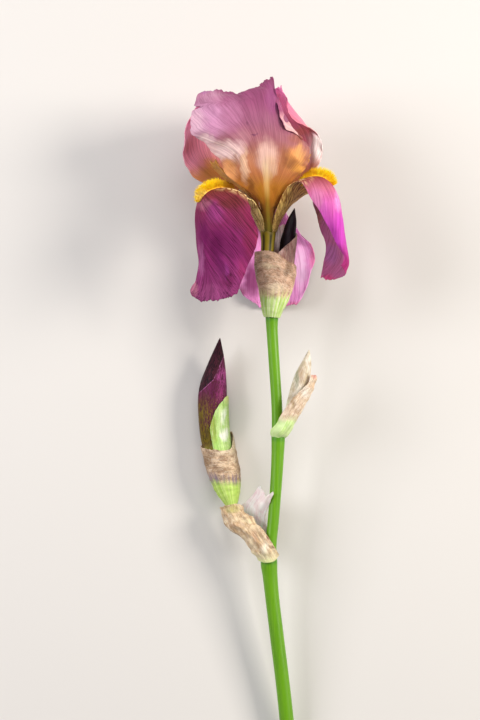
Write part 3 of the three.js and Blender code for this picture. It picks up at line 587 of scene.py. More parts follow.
front_standard = petal("front_standard", "standard_front", torn(notched(moved(
    lattice(FRONT_STANDARD),
    margin_waves(1.3, 4.5, 2.2, 0.4),
    fold([(-40, 57), (-35, 56.5), (-30, 55), (-25, 53.5), (-20, 50.5), (-17, 48), (-14.5, 41), (-13, 33), (-14, 27)],
         2.0, 9, 1.8),
    fold([(-20, 47), (-19.5, 40), (-18.5, 33)], -1.3, 2.5, 2.5),
    fold([(9.5, 57), (12.5, 50), (15.5, 45), (20.5, 40.5)], 2.2, 2.0, 4.5),
    fold([(9, 43), (11, 39), (15, 36)], -1.0, 2.0, 3.0),
    fold([(4.5, 82), (5, 70), (7, 64), (12, 60), (19, 58.5)], -1.4, 2.2, 4.5),
    frill(0.55, 17, 1.0),
    crumple(0.9, 13, 2.0),
), 1.0, 0.02), height=0.845, depth=0.13, width=0.011), "standard_petal", 150, 200)
back_right_standard = petal("back_right_standard", "standard_back_right", notched(moved(
    lattice(BACK_RIGHT_STANDARD), margin_waves(1.2, 4.2, 1.7, 2.1), frill(0.6, 15, 2.0), crumple(0.8, 12, 5.0),
), 4.0), "standard_petal")
back_left_standard = petal("back_left_standard", "standard_back_left", notched(moved(
    lattice(BACK_LEFT_STANDARD), margin_waves(1.1, 4.0, 1.6, 4.0), frill(0.5, 15, 3.0), crumple(0.8, 14, 8.0),
), 7.0), "standard_petal")


def graded(tree, place, stops):
    """A colour that changes up the flower: each stop is a height in millimetres and its colour."""
    low, high = stops[0][0], stops[-1][0]
    height = add(tree, "SeparateXYZ", {"Vector": place}).outputs["Y"]
    ramp = add(tree, "ValToRGB", {"Fac": banded(tree, height, low, high, "LINEAR")})
    marks = ramp.color_ramp.elements
    while len(marks) < len(stops):
        marks.new(1.0)
    for mark, (level, code) in zip(marks, stops):
        mark.position = (level - low) / (high - low)
        mark.color = tone(code)
    return ramp.outputs["Color"]


WASH_WANDER = 7.0


def washes(tree, place, colour, spots):
    """Soft patches of colour on a base. Each is its colour, its centre and reach in millimetres and its strength.
    Noise lets their edges wander by up to WASH_WANDER millimetres."""
    wander = add(tree, "TexNoise", {"Vector": place, "Scale": 0.16, "Detail": 3.0}).outputs["Color"]
    links = {0: wander, 1: (WASH_WANDER, WASH_WANDER, WASH_WANDER), 2: place}
    place = add(tree, "VectorMath", links, operation="MULTIPLY_ADD").outputs["Vector"]
    for code, (x, y), (wide, high), strength in spots:
        # The noise is a half on average, so half of the wander is taken off again.
        scale = (1 / wide, 1 / high, 0)
        shift = (-(x + WASH_WANDER / 2) / wide, -(y + WASH_WANDER / 2) / high, 0)
        offset = add(tree, "VectorMath", {0: place, 1: scale, 2: shift}, operation="MULTIPLY_ADD")
        distance = add(tree, "VectorMath", {0: offset.outputs["Vector"]}, operation="LENGTH").outputs["Value"]
        cover = add(tree, "MapRange", {"Value": distance, "From Min": 0.25, "To Min": strength, "To Max": 0.0},
                    interpolation_type="SMOOTHSTEP")
        colour = mixed(tree, cover.outputs["Result"], colour, tone(code))
    return colour


def own_plan(tree):
    """The piece's own plan: x runs across it from margin to margin and y along it, from 0 to 1."""
    return add(tree, "TexCoord").outputs["UV"]


def fanned(tree, fan):
    """The piece's plan with lines of one x that spread from its foot and curve out to its margins."""
    axes = add(tree, "SeparateXYZ", {"Vector": own_plan(tree)})
    side = add(tree, "Math", {0: axes.outputs["X"], 1: -0.5}, operation="ADD").outputs[0]
    narrowing = add(tree, "Math", {0: axes.outputs["Y"], 1: -fan}, operation="MULTIPLY").outputs[0]
    narrowing = add(tree, "Math", {0: narrowing}, operation="EXPONENT").outputs[0]
    across = add(tree, "Math", {0: side, 1: narrowing}, operation="MULTIPLY").outputs[0]
    return add(tree, "CombineXYZ", {"X": across, "Y": axes.outputs["Y"]}).outputs["Vector"]


def streaks(tree, plan, across, lengthwise, detail=3.0, shift=0.0, wander=0.0):
    """Noise drawn out into streaks: about that many lie across the piece and along it."""
    links = {0: plan, 1: (across, lengthwise, 1), 2: (shift, shift, shift)}
    place = add(tree, "VectorMath", links, operation="MULTIPLY_ADD").outputs["Vector"]
    links = {"Vector": place, "Scale": 1.0, "Detail": detail, "Roughness": 0.6, "Distortion": wander}
    return add(tree, "TexNoise", links).outputs["Fac"]


def fine_lines(tree, plan, across, lengthwise, width, shift=0.0, wander=0.0):
    """Hair-fine lines that waver, merge and part: 1 on a line and 0 between them."""
    level = streaks(tree, plan, across, lengthwise, 1.0, shift, wander)
    off = add(tree, "Math", {0: level, 1: -0.5}, operation="ADD").outputs[0]
    off = add(tree, "Math", {0: off}, operation="ABSOLUTE").outputs[0]
    return banded(tree, off, width, 0.0)


def venation(tree, count, fan, width=0.05):
    """Veins that fan out from the foot of a petal, count of them across it: wherever the spread has doubled the gaps
    between them, finer ones begin."""
    plan = fanned(tree, fan)
    height = add(tree, "SeparateXYZ", {"Vector": plan}).outputs["Y"]
    octave = math.log(2) / fan
    shown = 0.0
    for level in range(int(1 / octave) + 1):
        line = fine_lines(tree, plan, count * 2**level, 1.6, width, shift=7.3 * level)
        if level:
            begun = banded(tree, height, (level - 0.8) * octave, (level + 0.2) * octave)
            line = add(tree, "Math", {0: line, 1: begun}, operation="MULTIPLY").outputs[0]
        ended = banded(tree, height, (level + 3.2) * octave, (level + 1.8) * octave)
        line = add(tree, "Math", {0: line, 1: ended}, operation="MULTIPLY").outputs[0]
        shown = add(tree, "Math", {0: shown, 1: line}, operation="MAXIMUM").outputs[0]
    return shown


# A margin is half a piece's width from its midrib, and 0.5 ** FEATHER_BEND * FEATHER_SPAN is 1.
FEATHER_BEND = 0.6
FEATHER_SPAN = 1.516


def feathered(tree, reach):
    """The piece's plan with lines of one x that leave its midrib and sweep out to its margins: reach is how far along
    the piece one of them runs on the way."""
    axes = add(tree, "SeparateXYZ", {"Vector": own_plan(tree)})
    side = add(tree, "Math", {0: axes.outputs["X"], 1: -0.5}, operation="ADD").outputs[0]
    away = add(tree, "Math", {0: side}, operation="ABSOLUTE").outputs[0]
    away = add(tree, "Math", {0: away, 1: FEATHER_BEND}, operation="POWER").outputs[0]
    links = {0: away, 1: -FEATHER_SPAN * reach, 2: axes.outputs["Y"]}
    start = add(tree, "Math", links, operation="MULTIPLY_ADD").outputs[0]
    return add(tree, "CombineXYZ", {"X": start, "Y": side}).outputs["Vector"]


def tissue(name, base, spots, vein_colour, veins, strength, haft=None, midrib=None, rough=0.6, soft=0.25, fade=0.2,
           relief=0.3, sheen=0.06, gloss=0.3, sweep=None):
    """Petal tissue: soft, translucent and veined. base is one colour or the stops of a graded one, and spots are the
    washes over it. veins is how many cross its foot and how fast they fan out. With sweep they leave the midrib
    instead, that many of them along it, and sweep is how far along the piece each one runs. strength is how dark the
    fine veins are, fade how dark the broad bands between them, and relief how deep the fine ones lie. haft adds the
    brown net at the foot of a fall: its ground, its lines, how far it reaches and how strongly it shows. midrib is
    the rib's colours and then, for its two ends, their heights, its half widths and how far right of the axis it
    lies, in millimetres. rough, soft, sheen and gloss are the surface's."""
    material, shader = surface_of(name, rough, soft=soft, sheen=sheen, gloss=gloss)
    tree = material.node_tree
    place = stand_position(tree)
    ground = tone(base) if isinstance(base, str) else graded(tree, place, base)
    colour = washes(tree, place, ground, spots)
    if midrib:
        code, (low, high), (thin, wide), (start, end) = midrib
        axes = add(tree, "SeparateXYZ", {"Vector": place})
        rise = axes.outputs["Y"]
        rib_length = {"Value": rise, "From Min": low, "From Max": high}
        middle = add(tree, "MapRange", {**rib_length, "To Min": start, "To Max": end})
        half = add(tree, "MapRange", {**rib_length, "To Min": thin, "To Max": wide})
        off = add(tree, "Math", {0: axes.outputs["X"], 1: middle.outputs["Result"]}, operation="SUBTRACT").outputs[0]
        off = add(tree, "Math", {0: off}, operation="ABSOLUTE").outputs[0]
        off = add(tree, "Math", {0: off, 1: half.outputs["Result"]}, operation="DIVIDE").outputs[0]
        faded = banded(tree, rise, high + 6, high - 12)
        cover = add(tree, "Math", {0: banded(tree, off, 1.5, 0.2), 1: faded}, operation="MULTIPLY").outputs[0]
        colour = mixed(tree, cover, colour, graded(tree, place, code))
    count, fan = veins
    if sweep:
        plan = feathered(tree, sweep)
        fine = fine_lines(tree, plan, count, lengthwise=3.0, width=0.06)
        broad = streaks(tree, plan, count * 0.5, lengthwise=3.0)
    else:
        fine = venation(tree, count, fan)
        broad = streaks(tree, fanned(tree, fan), count, lengthwise=2.0)
    amount = add(tree, "Math", {0: banded(tree, broad, 0.7, 0.35), 1: fade}, operation="MULTIPLY").outputs[0]
    colour = mixed(tree, amount, colour, tone(vein_colour), "MULTIPLY")
    amount = add(tree, "Math", {0: fine, 1: strength}, operation="MULTIPLY").outputs[0]
    colour = mixed(tree, amount, colour, tone(vein_colour), "MULTIPLY")
    if haft:
        ground, line, reach, cover = haft
        rise = add(tree, "SeparateXYZ", {"Vector": own_plan(tree)}).outputs["Y"]
        net = fine_lines(tree, fanned(tree, 4.0), across=46, lengthwise=12.0, width=0.11)
        netted = mixed(tree, net, tone(ground), tone(line))
        inside = banded(tree, rise, reach + 0.05, reach - 0.05)
        amount = add(tree, "Math", {0: inside, 1: cover}, operation="MULTIPLY").outputs[0]
        colour = mixed(tree, amount, colour, netted)
    tree.links.new(colour, shader.inputs["Base Color"])
    bump = add(tree, "Bump", {"Height": fine, "Strength": relief, "Distance": 0.0002}, invert=True).outputs["Normal"]
    bump = add(tree, "Bump", {"Height": broad, "Strength": 0.3, "Distance": 0.0004, "Normal": bump}).outputs["Normal"]
    tree.links.new(bump, shader.inputs["Normal"])
    return material


front_outer = tissue("standard_tissue_front", [
    (3, "#6E6418"), (12, "#8E600E"), (20, "#B4700E"), (28, "#BE7C22"), (36, "#BE7846"), (46, "#B87A5C"),
    (55, "#A4646C"), (66, "#9E5C78"), (78, "#944A70"), (95, "#8A3E66"),
], [
    ("#D698BA", (-36, 68), (18, 16), 1.0),
    ("#E2B6C6", (-45, 66), (12, 14), 1.0),
    ("#C48AA4", (-36, 82), (14, 7), 0.9),
    ("#B470A0", (-38, 86), (7, 3), 0.7),
    ("#B87698", (-22, 70), (10, 16), 0.7),
    ("#9A4A80", (2, 80), (5, 15), 0.7),
    ("#B8808A", (-16, 56), (7, 8), 0.7),
    ("#FFE0D8", (-26, 49), (16, 8), 1.0),
    ("#F8D8D4", (-38, 55), (11, 5), 1.0),
    ("#FCDCD0", (-20, 46), (6, 7), 0.9),
    ("#EAA868", (-23, 37), (7, 9), 0.9),
    # Painted highlight: a pale streak along the ridge of the fold on the lower left.
    ("#EEC8A4", (-14, 40), (3.4, 14), 0.8),
    # Painted shade: a brown streak in the groove beside that fold.
    ("#B87850", (-19, 41), (2.8, 9), 0.6),
    ("#DC9450", (15, 43), (9, 11), 0.9),
    # Painted highlight: a bright amber streak on the amber lobe beside its fold.
    ("#EEB266", (18.5, 47), (4, 11), 0.7),
    ("#F2B050", (19, 38.5), (7, 4), 0.9),
    # Painted shade: a brown line at the inner edge of the amber lobe.
    ("#B06A42", (9.5, 46), (2.6, 9), 0.5),
    ("#A86450", (18, 57), (8, 5), 0.7),
    ("#B8780C", (-4.5, 25), (2.6, 7), 0.9),
    ("#A8680A", (5, 25), (3, 7), 0.9),
    ("#8E5208", (-10, 27), (2.4, 7), 0.8),
    ("#5A3004", (-4, 11), (1.6, 10), 0.9),
    ("#5A3004", (4, 11), (1.6, 10), 0.9),
    ("#7A3E5C", (-9, 57.5), (2.2, 1.2), 0.9),
    # Painted shade: a dark line where the petal has a faint crease.
    ("#7A3E5C", (-12, 65), (1.2, 2.4), 0.8),
    # Painted shade: a dark line in the crease of the tear in the left margin.
    ("#8A5470", (-43, 75.5), (7, 0.9), 0.9),
    ("#E8C2B2", (-0.8, 46), (8.6, 14), 0.85),
    ("#E8C09C", (0.6, 39), (6.0, 9), 0.8),
    ("#DCA85C", (1.0, 33), (3.0, 6), 0.6),
], "#8E3E72", (80, 1.5), 0.3,
    midrib=([(4, "#9A8C28"), (20, "#B0841C"), (30, "#E2B468"), (40, "#F4D8AC"), (50, "#E8C2B0")], (4, 46), (1.0, 2.2),
            (0.4, -1.9)), relief=0.12)
standard_inner = tissue("standard_tissue_inner", [
    (3, "#8A6A14"), (24, "#B87C24"), (40, "#CC905E"), (56, "#ECC0B4"), (64, "#EAB6B6"), (69, "#D89CA4"),
    (73, "#A04E74"), (92, "#8E4070"),
], [], "#9A4A7A", (80, 1.5), 0.3)
dress(front_standard, front_outer, standard_inner)

back_standard_outer = tissue("standard_tissue_back_outer", [
    (3, "#8A6A14"), (20, "#A8702A"), (36, "#C07C5C"), (52, "#EE98A0"), (70, "#EC86A0"), (92, "#D468A0"),
], [
    ("#CE7C76", (20, 62), (8, 6), 0.8),
    # Painted light: near white where light shines through the curled flap of the back right standard.
    ("#FFF2EE", (30, 53), (9, 15), 1.0),
    ("#D68EAE", (-44, 52), (16, 18), 0.8),
], "#8E3264", (70, 1.6), 0.35, fade=0.12)
back_standard_inner = tissue("standard_tissue_back_inner", [
    (3, "#8A6A14"), (24, "#C08430"), (38, "#D08A56"), (50, "#E89AA0"), (66, "#F492BA"), (92, "#F486C4"),
], [
    ("#E89A90", (20, 63), (9, 6), 0.8),
    # Painted light: near white where light shines through the curled flap of the back right standard.
    ("#FFF2EE", (30, 53), (9, 15), 1.0),
    ("#FFAAC8", (-48, 52), (16, 20), 0.9),
    ("#D69C40", (-33, 40), (9, 9), 0.8),
], "#9A3A5A", (70, 1.6), 0.35, fade=0.12)
dress(back_right_standard, back_standard_outer, back_standard_inner)
dress(back_left_standard, back_standard_outer, back_standard_inner)

# ---- Falls ----
# The three hanging petals. Each rises from the tube on a channelled haft, arches over and hangs as a saddle, with its
# two flanks drooping from the midrib. The upper face is velvet, the underside paler and smooth.
RIGHT_FALL = claw(AZIMUTH["right"], [TEPAL_FOOT, (9.2, 10, 4.8, 2.3), (15.9, 19, 7.6, 3.6)], 7) + [
    [[11.5, 28.5, 17.5], [13.5, 28.6, 16.5], [16.5, 29, 14.5], [19.5, 29, 11],
     [21.5, 28, 7], [23, 26, 3], [22.5, 24, -1]],
    [[19.5, 30, 21.5], [22, 32, 20.5], [24.5, 33.6, 17.5], [27.5, 34, 14], [29, 32, 10], [28.5, 28, 5], [26, 24, 1]],
    [[25.5, 19.5, 26], [29, 25, 26.5], [32, 30.5, 22], [35, 32.5, 16.5], [36, 29, 10], [33, 24, 2], [27, 18.5, -3]],
    [[30.5, 12.5, 29], [35, 17, 30.5], [39, 22, 25.5], [41, 23.5, 17], [40.5, 20, 8], [36, 15, -1], [29, 12, -6]],
    [[35.5, 3, 28], [39.5, 6, 30], [43, 9, 25], [44.2, 10, 16.5], [43, 8, 7], [38, 6, -2], [31, 5, -6]],
    [[40, -5.5, 25], [42.5, -5, 25.5], [45, -4, 21], [45.8, -3.5, 15], [44, -4, 7], [40, -4.5, 0], [34.5, -5, -3]],
    [[44.5, -13, 21], [46.5, -15, 20], [48, -17, 17], [47.5, -17.5, 13],
     [45, -17.5, 7.5], [39.5, -17.5, 3], [33, -17, 1]],
    [[43, -20, 20], [45, -22.5, 17.5], [45.5, -25, 14], [43.5, -26.5, 11],
     [40, -27.5, 8.5], [35.5, -28.5, 7], [31, -27.5, 6]],
]
LEFT_FALL = claw(AZIMUTH["left"], [TEPAL_FOOT, (9.2, 10, 5.0, 2.4), (16.1, 19, 6.6, 3.0)], 7) + [
    [[-21, 24, 3], [-22, 26, 6], [-22, 26.5, 9], [-21, 26, 12],
     [-18, 25, 14], [-15.5, 23.5, 15.5], [-12.5, 21.5, 16]],
    [[-31, 20.4, 2], [-32.4, 24.8, 7], [-31.6, 27.2, 12], [-29.4, 27.6, 16.5],
     [-23.2, 26.8, 20], [-17.5, 25.2, 21.5], [-13, 22, 21]],
    [[-30, 10, 2], [-36.6, 17, 8], [-39, 22.6, 15], [-37.6, 24.2, 20.5],
     [-29.4, 23, 27], [-19, 20, 28.5], [-10.5, 14, 25]],
    [[-33, 0, 1], [-40, 8, 8], [-43, 13, 16.5], [-41, 16, 23.5], [-32, 17, 32], [-19, 12, 33], [-6.5, 2, 27]],
    [[-36, -10, 3], [-42, -4, 10], [-42.6, 0, 18], [-40.5, 2, 24.5], [-33, 3, 32], [-20, -1, 34.5], [-7, -8, 28]],
    [[-41, -22, 8], [-41.5, -18, 14], [-40.5, -16, 20], [-37.5, -14, 25],
     [-30, -13, 27], [-21, -15, 32], [-12, -20, 30]],
    [[-46, -32, 12], [-43, -31, 17], [-39, -30, 20.5], [-34, -29, 23.5],
     [-28, -28, 27], [-22, -28, 31], [-16, -30, 32]],
    [[-45, -37.5, 12], [-41.5, -40.5, 15], [-37, -41.5, 18], [-32, -41, 21],
     [-28, -40.5, 25], [-23, -39, 28], [-19, -37, 30]],
]
BACK_FALL = claw(AZIMUTH["back"], [TEPAL_FOOT, (9, 9, 3.0, 1.0), (16, 16, 5.0, 2.0)], 7) + [
    [[10, 17, -20.5], [7.5, 19.5, -23], [4.5, 20.5, -24.7], [1, 20.7, -25],
     [-2.5, 20.5, -24.7], [-6, 20, -23], [-9, 19, -20]],
    [[14, 8, -28], [12, 13.5, -32], [7.5, 17.5, -34.5], [2, 18.5, -35.5],
     [-4, 18, -34], [-10, 16, -31], [-14, 11, -27]],
    [[21, 0.5, -36.5], [17, 6, -40], [11, 10, -42.5], [3, 12, -43.5], [-5, 11, -42.5], [-13, 8, -39], [-19, 2, -34]],
    [[27, -4.5, -39.5], [22, -1, -42.5], [14, 1.5, -44.3], [4, 2, -45.1],
     [-6, 1, -44], [-15, -2, -41], [-21.5, -7, -37]],
    [[29, -12, -38.5], [23, -10, -41.5], [14, -9, -43.3], [4, -9, -43.9],
     [-6, -9, -43], [-15, -11, -41], [-22, -15, -38]],
    [[27, -21, -36.5], [21, -20, -39.5], [13, -20, -41.5], [4, -20, -42.3],
     [-5, -20, -41.8], [-13, -21.5, -40], [-20, -24, -37.5]],
    [[24, -31, -34.5], [18, -32, -37], [12, -32.5, -38.8], [4, -33, -39.8],
     [-4, -33, -39.5], [-10, -33, -38.2], [-16, -33.5, -36]],
    [[18, -41.5, -32.5], [14, -43, -34.5], [9, -44.5, -35.8], [3.5, -45.5, -36.5],
     [-2, -44.5, -36.3], [-6, -42.5, -35.6], [-10, -39.5, -34.5]],
]


def above_table(surface):
    """Where a piece lies on the table it is pressed flat."""
    lowest = PETAL_THICKNESS / 2 + 0.05

    def pressed(u, v):
        points = laid(surface(u, v)) * MM_IN_METRE
        points[:, 2] = np.maximum(points[:, 2], lowest)
        return (points - LAY_SHIFT) @ LAY_TURN

    return pressed


right_fall_surface = moved(
    lattice(RIGHT_FALL), margin_waves(0.8, 4.0, 1.2, 1.0, 3), frill(0.35, 16, 4.0), crumple(0.5, 10, 11.0),
)
right_fall = petal("right_fall", "fall_right", notched(right_fall_surface, 10.0), "pale_fall_petal")
left_fall_surface = moved(
    lattice(LEFT_FALL), margin_waves(0.9, 4.4, 1.4, 3.0, 3),
    fold([(-37, 8), (-33, -5), (-28, -13), (-25, -21), (-22, -31)], -1.2, 3.5, 3.5),
    frill(0.35, 16, 5.0), crumple(0.5, 12, 14.0),
)
left_fall = petal("left_fall", "fall_left", notched(left_fall_surface, 13.0), "fall_petal")
back_fall_surface = above_table(moved(
    lattice(BACK_FALL), margin_waves(0.8, 4.2, 1.3, 5.0, 3), frill(0.35, 16, 6.0), crumple(0.6, 12, 17.0),
))
back_fall = petal("back_fall", "fall_back", notched(back_fall_surface, 16.0), "pale_fall_petal")

left_velvet = tissue("fall_velvet_plum", [
    (-41, "#AC5088"), (-32, "#983C74"), (-18, "#8A2A68"), (0, "#842560"), (14, "#882C54"), (24, "#84363A"),
    (32, "#A05A20"),
], [
    # Painted sheen: a paler violet patch standing for the light on the velvet.
    ("#A03E80", (-31, 12), (8, 9), 0.8),
    ("#B87088", (-38, 17), (6.5, 5), 0.6),
    # Painted shade: dark streaks down the groove of the fold.
    ("#700E54", (-38, -1), (3.5, 12), 0.7),
    ("#600848", (-31, -8), (6, 14), 0.5),
    ("#6C2C2C", (-21, 18), (12, 6), 0.8),
    ("#7C2844", (-17, 10), (7, 10), 0.6),
    # Painted shade: more of the dark streak down that groove.
    ("#6A1056", (-28, -19), (3, 9), 0.45),
    ("#660A3C", (-24, -28), (5, 8), 0.45),
    ("#86244A", (-11, -2), (6, 22), 0.7),
    ("#A8365C", (-7, -4), (2.2, 15), 0.6),
    ("#B06094", (-40, -16), (3, 14), 0.8),
    ("#C47890", (-44, -31), (3.5, 8), 0.9),
    # Painted highlight: a bright line on the edge of that groove.
    ("#A03C8C", (-25, -22), (2.0, 7), 0.6),
    ("#8E2A5C", (-15, -22), (4, 10), 0.7),
    ("#B4568E", (-35, -35), (8, 8), 0.7),
], "#4E0C34", (84, 3.2), 0.6, haft=("#FFE0A0", "#6E3A10", 0.43, 0.95), rough=0.7, soft=0.12, fade=0.3,
    sheen=0.0, gloss=0.15, sweep=0.27)
left_underside = tissue("fall_underside_plum", "#A45A8A", [
    ("#C8A07A", (-42, 8), (4, 14), 0.9),
    ("#7A4410", (0, 14), (20, 16), 0.9),
], "#5A1A44", (40, 2.6), 0.5, haft=("#FFE090", "#7E5216", 0.3, 0.95))
dress(left_fall, left_underside, left_velvet)

right_velvet = tissue("fall_velvet_rose", [
    (-29, "#AC3068"), (-16, "#B43884"), (-6, "#C046AE"), (6, "#CA50B8"), (18, "#D46AB4"), (27, "#C46C84"),
    (34, "#8E3E3C"),
], [
    ("#E08CB6", (28, 19), (6, 11), 0.8),
    ("#CC46C2", (42, 2), (5, 14), 0.8),
    ("#EAA0DC", (41, 20), (2.5, 10), 0.8),
    # Painted highlight: a pale pink spot on the curled tip of the fall.
    ("#F09AAA", (39, -24), (3, 2.5), 0.8),
    ("#8E2A5A", (33, -20), (3, 9), 0.6),
], "#A8307A", (60, 2.4), 0.4, haft=("#FAD898", "#6A300C", 0.41, 0.95), rough=0.66, soft=0.2, fade=0.25,
    sheen=0.0, gloss=0.2, sweep=0.5)
right_underside = tissue("fall_underside_mauve", "#B8608E", [
    ("#A8685E", (29, 11), (6, 9), 0.9),
    ("#B064A0", (38, -12), (6, 9), 0.8),
    ("#C84078", (36, -27), (8, 4), 0.9),
    ("#6E4A10", (10, 14), (14, 16), 1.0),
], "#6A2450", (60, 2.4), 0.4, haft=("#FAD478", "#8A5818", 0.39, 0.95), sweep=0.5)
dress(right_fall, right_underside, right_velvet)

back_underside = tissue("fall_underside_pink", "#F0A4DC", [
    ("#FAD4F2", (20, -18), (5, 20), 0.9),
    ("#EA84B4", (28, -8), (4, 16), 0.9),
    ("#E07AA4", (16, -42), (10, 4), 0.8),
    # Painted shade: the left part of the back fall darkened, most of all at its margin.
    ("#8E3A72", (-10, -26), (8, 18), 0.95),
    ("#721C48", (-16, -34), (4, 6), 0.7),
    ("#8A6020", (0, 12), (14, 10), 0.9),
], "#B04E94", (40, 2.2), 0.4, fade=0.15)
back_velvet = tissue("fall_velvet_back", "#984880", [
    ("#7A2A6A", (3, -5), (14, 20), 0.7),
    ("#C878A8", (3, -42), (26, 8), 0.7),
], "#4A1038", (40, 2.4), 0.6, haft=("#E8C47A", "#4A1C08", 0.27, 0.9))
dress(back_fall, back_underside, back_velvet)

# ---- Beards ----
# The brush of stiff golden hairs on the midrib of each fall: a low fleshy pad that follows the midrib, with hundreds
# of hairs rooted in it. They are deep gold at the root, clear yellow at the tip and browner towards the throat.
BEARD_HALF = 2.0
BEARD_PAD = 1.6
BEARD_HAIR = 4.6
HAIR_RADIUS = 0.16
HAIR_TAPER = 2.6


def beard(name, node, surface, first, last, count, seed):
    """The hairs stand on the part of a fall's midrib from first to last, as shares of its length."""
    draw = random.Random(seed)

    def midrib(v):
        middle, share, step = np.full(len(v), 0.5), first + (last - first) * v, 2e-3
        lengthwise = surface(middle, share + step) - surface(middle, share - step)
        lengthwise /= np.linalg.norm(lengthwise, axis=1, keepdims=True)
        up = -facing(surface, middle, share)
        return surface(middle, share), lengthwise, up, np.cross(up, lengthwise)

    def swell(v):
        return np.sqrt(np.clip(np.minimum(0.12 + 2.2 * v, 5 * (1 - v)), 0, 1))

    def pad(u, v):
        centre, _, up, side = midrib(v)
        across, rise = np.cos(2 * np.pi * u) * swell(v) * BEARD_HALF, np.sin(2 * np.pi * u) * swell(v) * BEARD_PAD
        return centre + across[:, None] * side + (rise + 0.1)[:, None] * up

    piece = skin(name, pad, 20, 60, closed=True)
    brush = bmesh.new()
    brush.from_mesh(piece.data)
    rise, shade = brush.verts.layers.float.new("rise"), brush.verts.layers.float.new("shade")
    places = np.array([draw.random() for _ in range(count)])
    centres, alongs, ups, sides = midrib(places)
    for place, centre, lengthwise, up, side in zip(places, centres, alongs, ups, sides):
        full, across = float(swell(np.array([place]))[0]), draw.uniform(-1, 1)
        root = centre + side * across * full * BEARD_HALF * 0.85 + up * BEARD_PAD * full * (1 - across**2) * 0.8
        lean = up + side * across * 0.75 + lengthwise * 0.3
        towards = Vector(lean + np.array([draw.uniform(-0.16, 0.16) for _ in range(3)])).normalized()
        length = BEARD_HAIR * (0.5 + 0.5 * full) * (1 - 0.25 * abs(across)) * draw.uniform(0.8, 1.2)
        towards = Vector(LAY_TURN @ np.array(towards))
        turn = towards.to_track_quat("Z", "Y").to_matrix().to_4x4()
        middle = Vector(laid(root)) + towards * length / (2 * MM_IN_METRE)
        grown = bmesh.ops.create_cone(
            brush, cap_ends=True, segments=5, radius1=HAIR_RADIUS / MM_IN_METRE,
            radius2=HAIR_RADIUS / (HAIR_TAPER * MM_IN_METRE), depth=length / MM_IN_METRE,
            matrix=Matrix.Translation(middle) @ turn,
        )
        tint = draw.random()
        for vert in grown["verts"]:
            vert[rise] = 1.0 if (vert.co - middle).dot(towards) > 0 else 0.0
            vert[shade] = tint
    brush.to_mesh(piece.data)
    brush.free()
    return kept(piece, "beard", node)


beards = [
    beard("left_beard", "beard_left", left_fall_surface, 0.30, 0.575, count=1000, seed=11),
    beard("right_beard", "beard_right", right_fall_surface, 0.30, 0.55, count=1000, seed=12),
    beard("back_beard", "beard_back", back_fall_surface, 0.26, 0.44, count=420, seed=13),
]

# Beard hair: soft, translucent and matt, so that it glows yellow where the light comes through the tips.
golden_hair, shader = surface_of("golden_beard_hair", 0.6, soft=0.1)
tree = golden_hair.node_tree
place = stand_position(tree)
rise = add(tree, "Attribute", attribute_name="rise").outputs["Fac"]
shade = add(tree, "Attribute", attribute_name="shade").outputs["Fac"]
gold = mixed(tree, banded(tree, rise, 0.0, 0.8), tone("#F0A800"), tone("#FFDC04"))
gold = mixed(tree, banded(tree, shade, 0.4, 1.0), gold, tone("#FFEA20"))
gold = mixed(tree, banded(tree, shade, 0.25, 0.0), gold, tone("#F4B400"))
gold = washes(tree, place, gold, [
    ("#A8680C", (-21.5, 29.5), (12, 8), 0.9),
    ("#EAA40C", (24, 38), (7, 5), 0.7),
    ("#FFE636", (42, 33), (4, 4), 0.7),
    ("#FAE488", (-39, 22), (8, 5), 0.6),
])
tree.links.new(gold, shader.inputs["Base Color"])
for brush in beards:
    dress(brush, golden_hair)

# ---- Style arms ----
# Three narrow arched petals that stand over the hafts and beards of the falls. Each ends in an upturned crest of two
# ragged lobes; they are amber where they leave the tube and golden further out.
STYLE_AZIMUTH = {"left": -71, "right": 68, "back": 180}
STYLE_RADIUS = 1.7


def style_arm(name, node, azimuth, reach, rise, breadth, seed):
    """A style arm that stands out to its reach and up to its rise, in millimetres. breadth widens or narrows it."""

    def bow(radius, height, half, drop, notch=0.0):
        shares = [i / 2 - 1 for i in range(5)]
        return [round_axis(azimuth, radius, height + (notch - drop) * s * s, s * half * breadth) for s in shares]

    rows = [
        bow(STYLE_RADIUS, TEPAL_SEAT, 0.6, 0),
        bow(2.4, 9, 1.2, 0.1),
        bow(reach * 0.24, rise * 0.45, 3.0, 0.8),
        bow(reach * 0.46, rise * 0.64, 4.4, 1.4),
        bow(reach * 0.7, rise * 0.76, 5.4, 1.6),
        bow(reach * 0.86, rise * 0.86, 5.6, 0.6),
        bow(reach * 0.96, rise * 0.93, 5.2, 0, 3.0),
    ]
    arched = moved(lattice(rows), frill(0.6, 9, seed), crumple(0.4, 6, seed))
    return petal(name, node, notched(arched, seed, 0.03), "style_arm", 60, 90)


style_arms = [
    style_arm("left_style_arm", "style_arm_left", STYLE_AZIMUTH["left"], 37, 46, 1.0, 21.0),
    style_arm("right_style_arm", "style_arm_right", STYLE_AZIMUTH["right"], 27, 50, 1.0, 24.0),
    style_arm("back_style_arm", "style_arm_back", STYLE_AZIMUTH["back"], 28, 43, 0.8, 27.0),
]
style_tissue = tissue("style_tissue_amber", "#CC9440", [
    ("#B8802A", (-33, 41), (6, 7), 0.8),
    ("#E8C078", (-35, 46), (7, 4), 0.8),
    ("#D8A468", (20, 47), (8, 8), 0.8),
    ("#8A5A18", (0, 12), (14, 14), 0.9),
], "#8A4A18", (24, 0.8), 0.5)
for arm in style_arms:
    dress(arm, style_tissue, style_tissue)

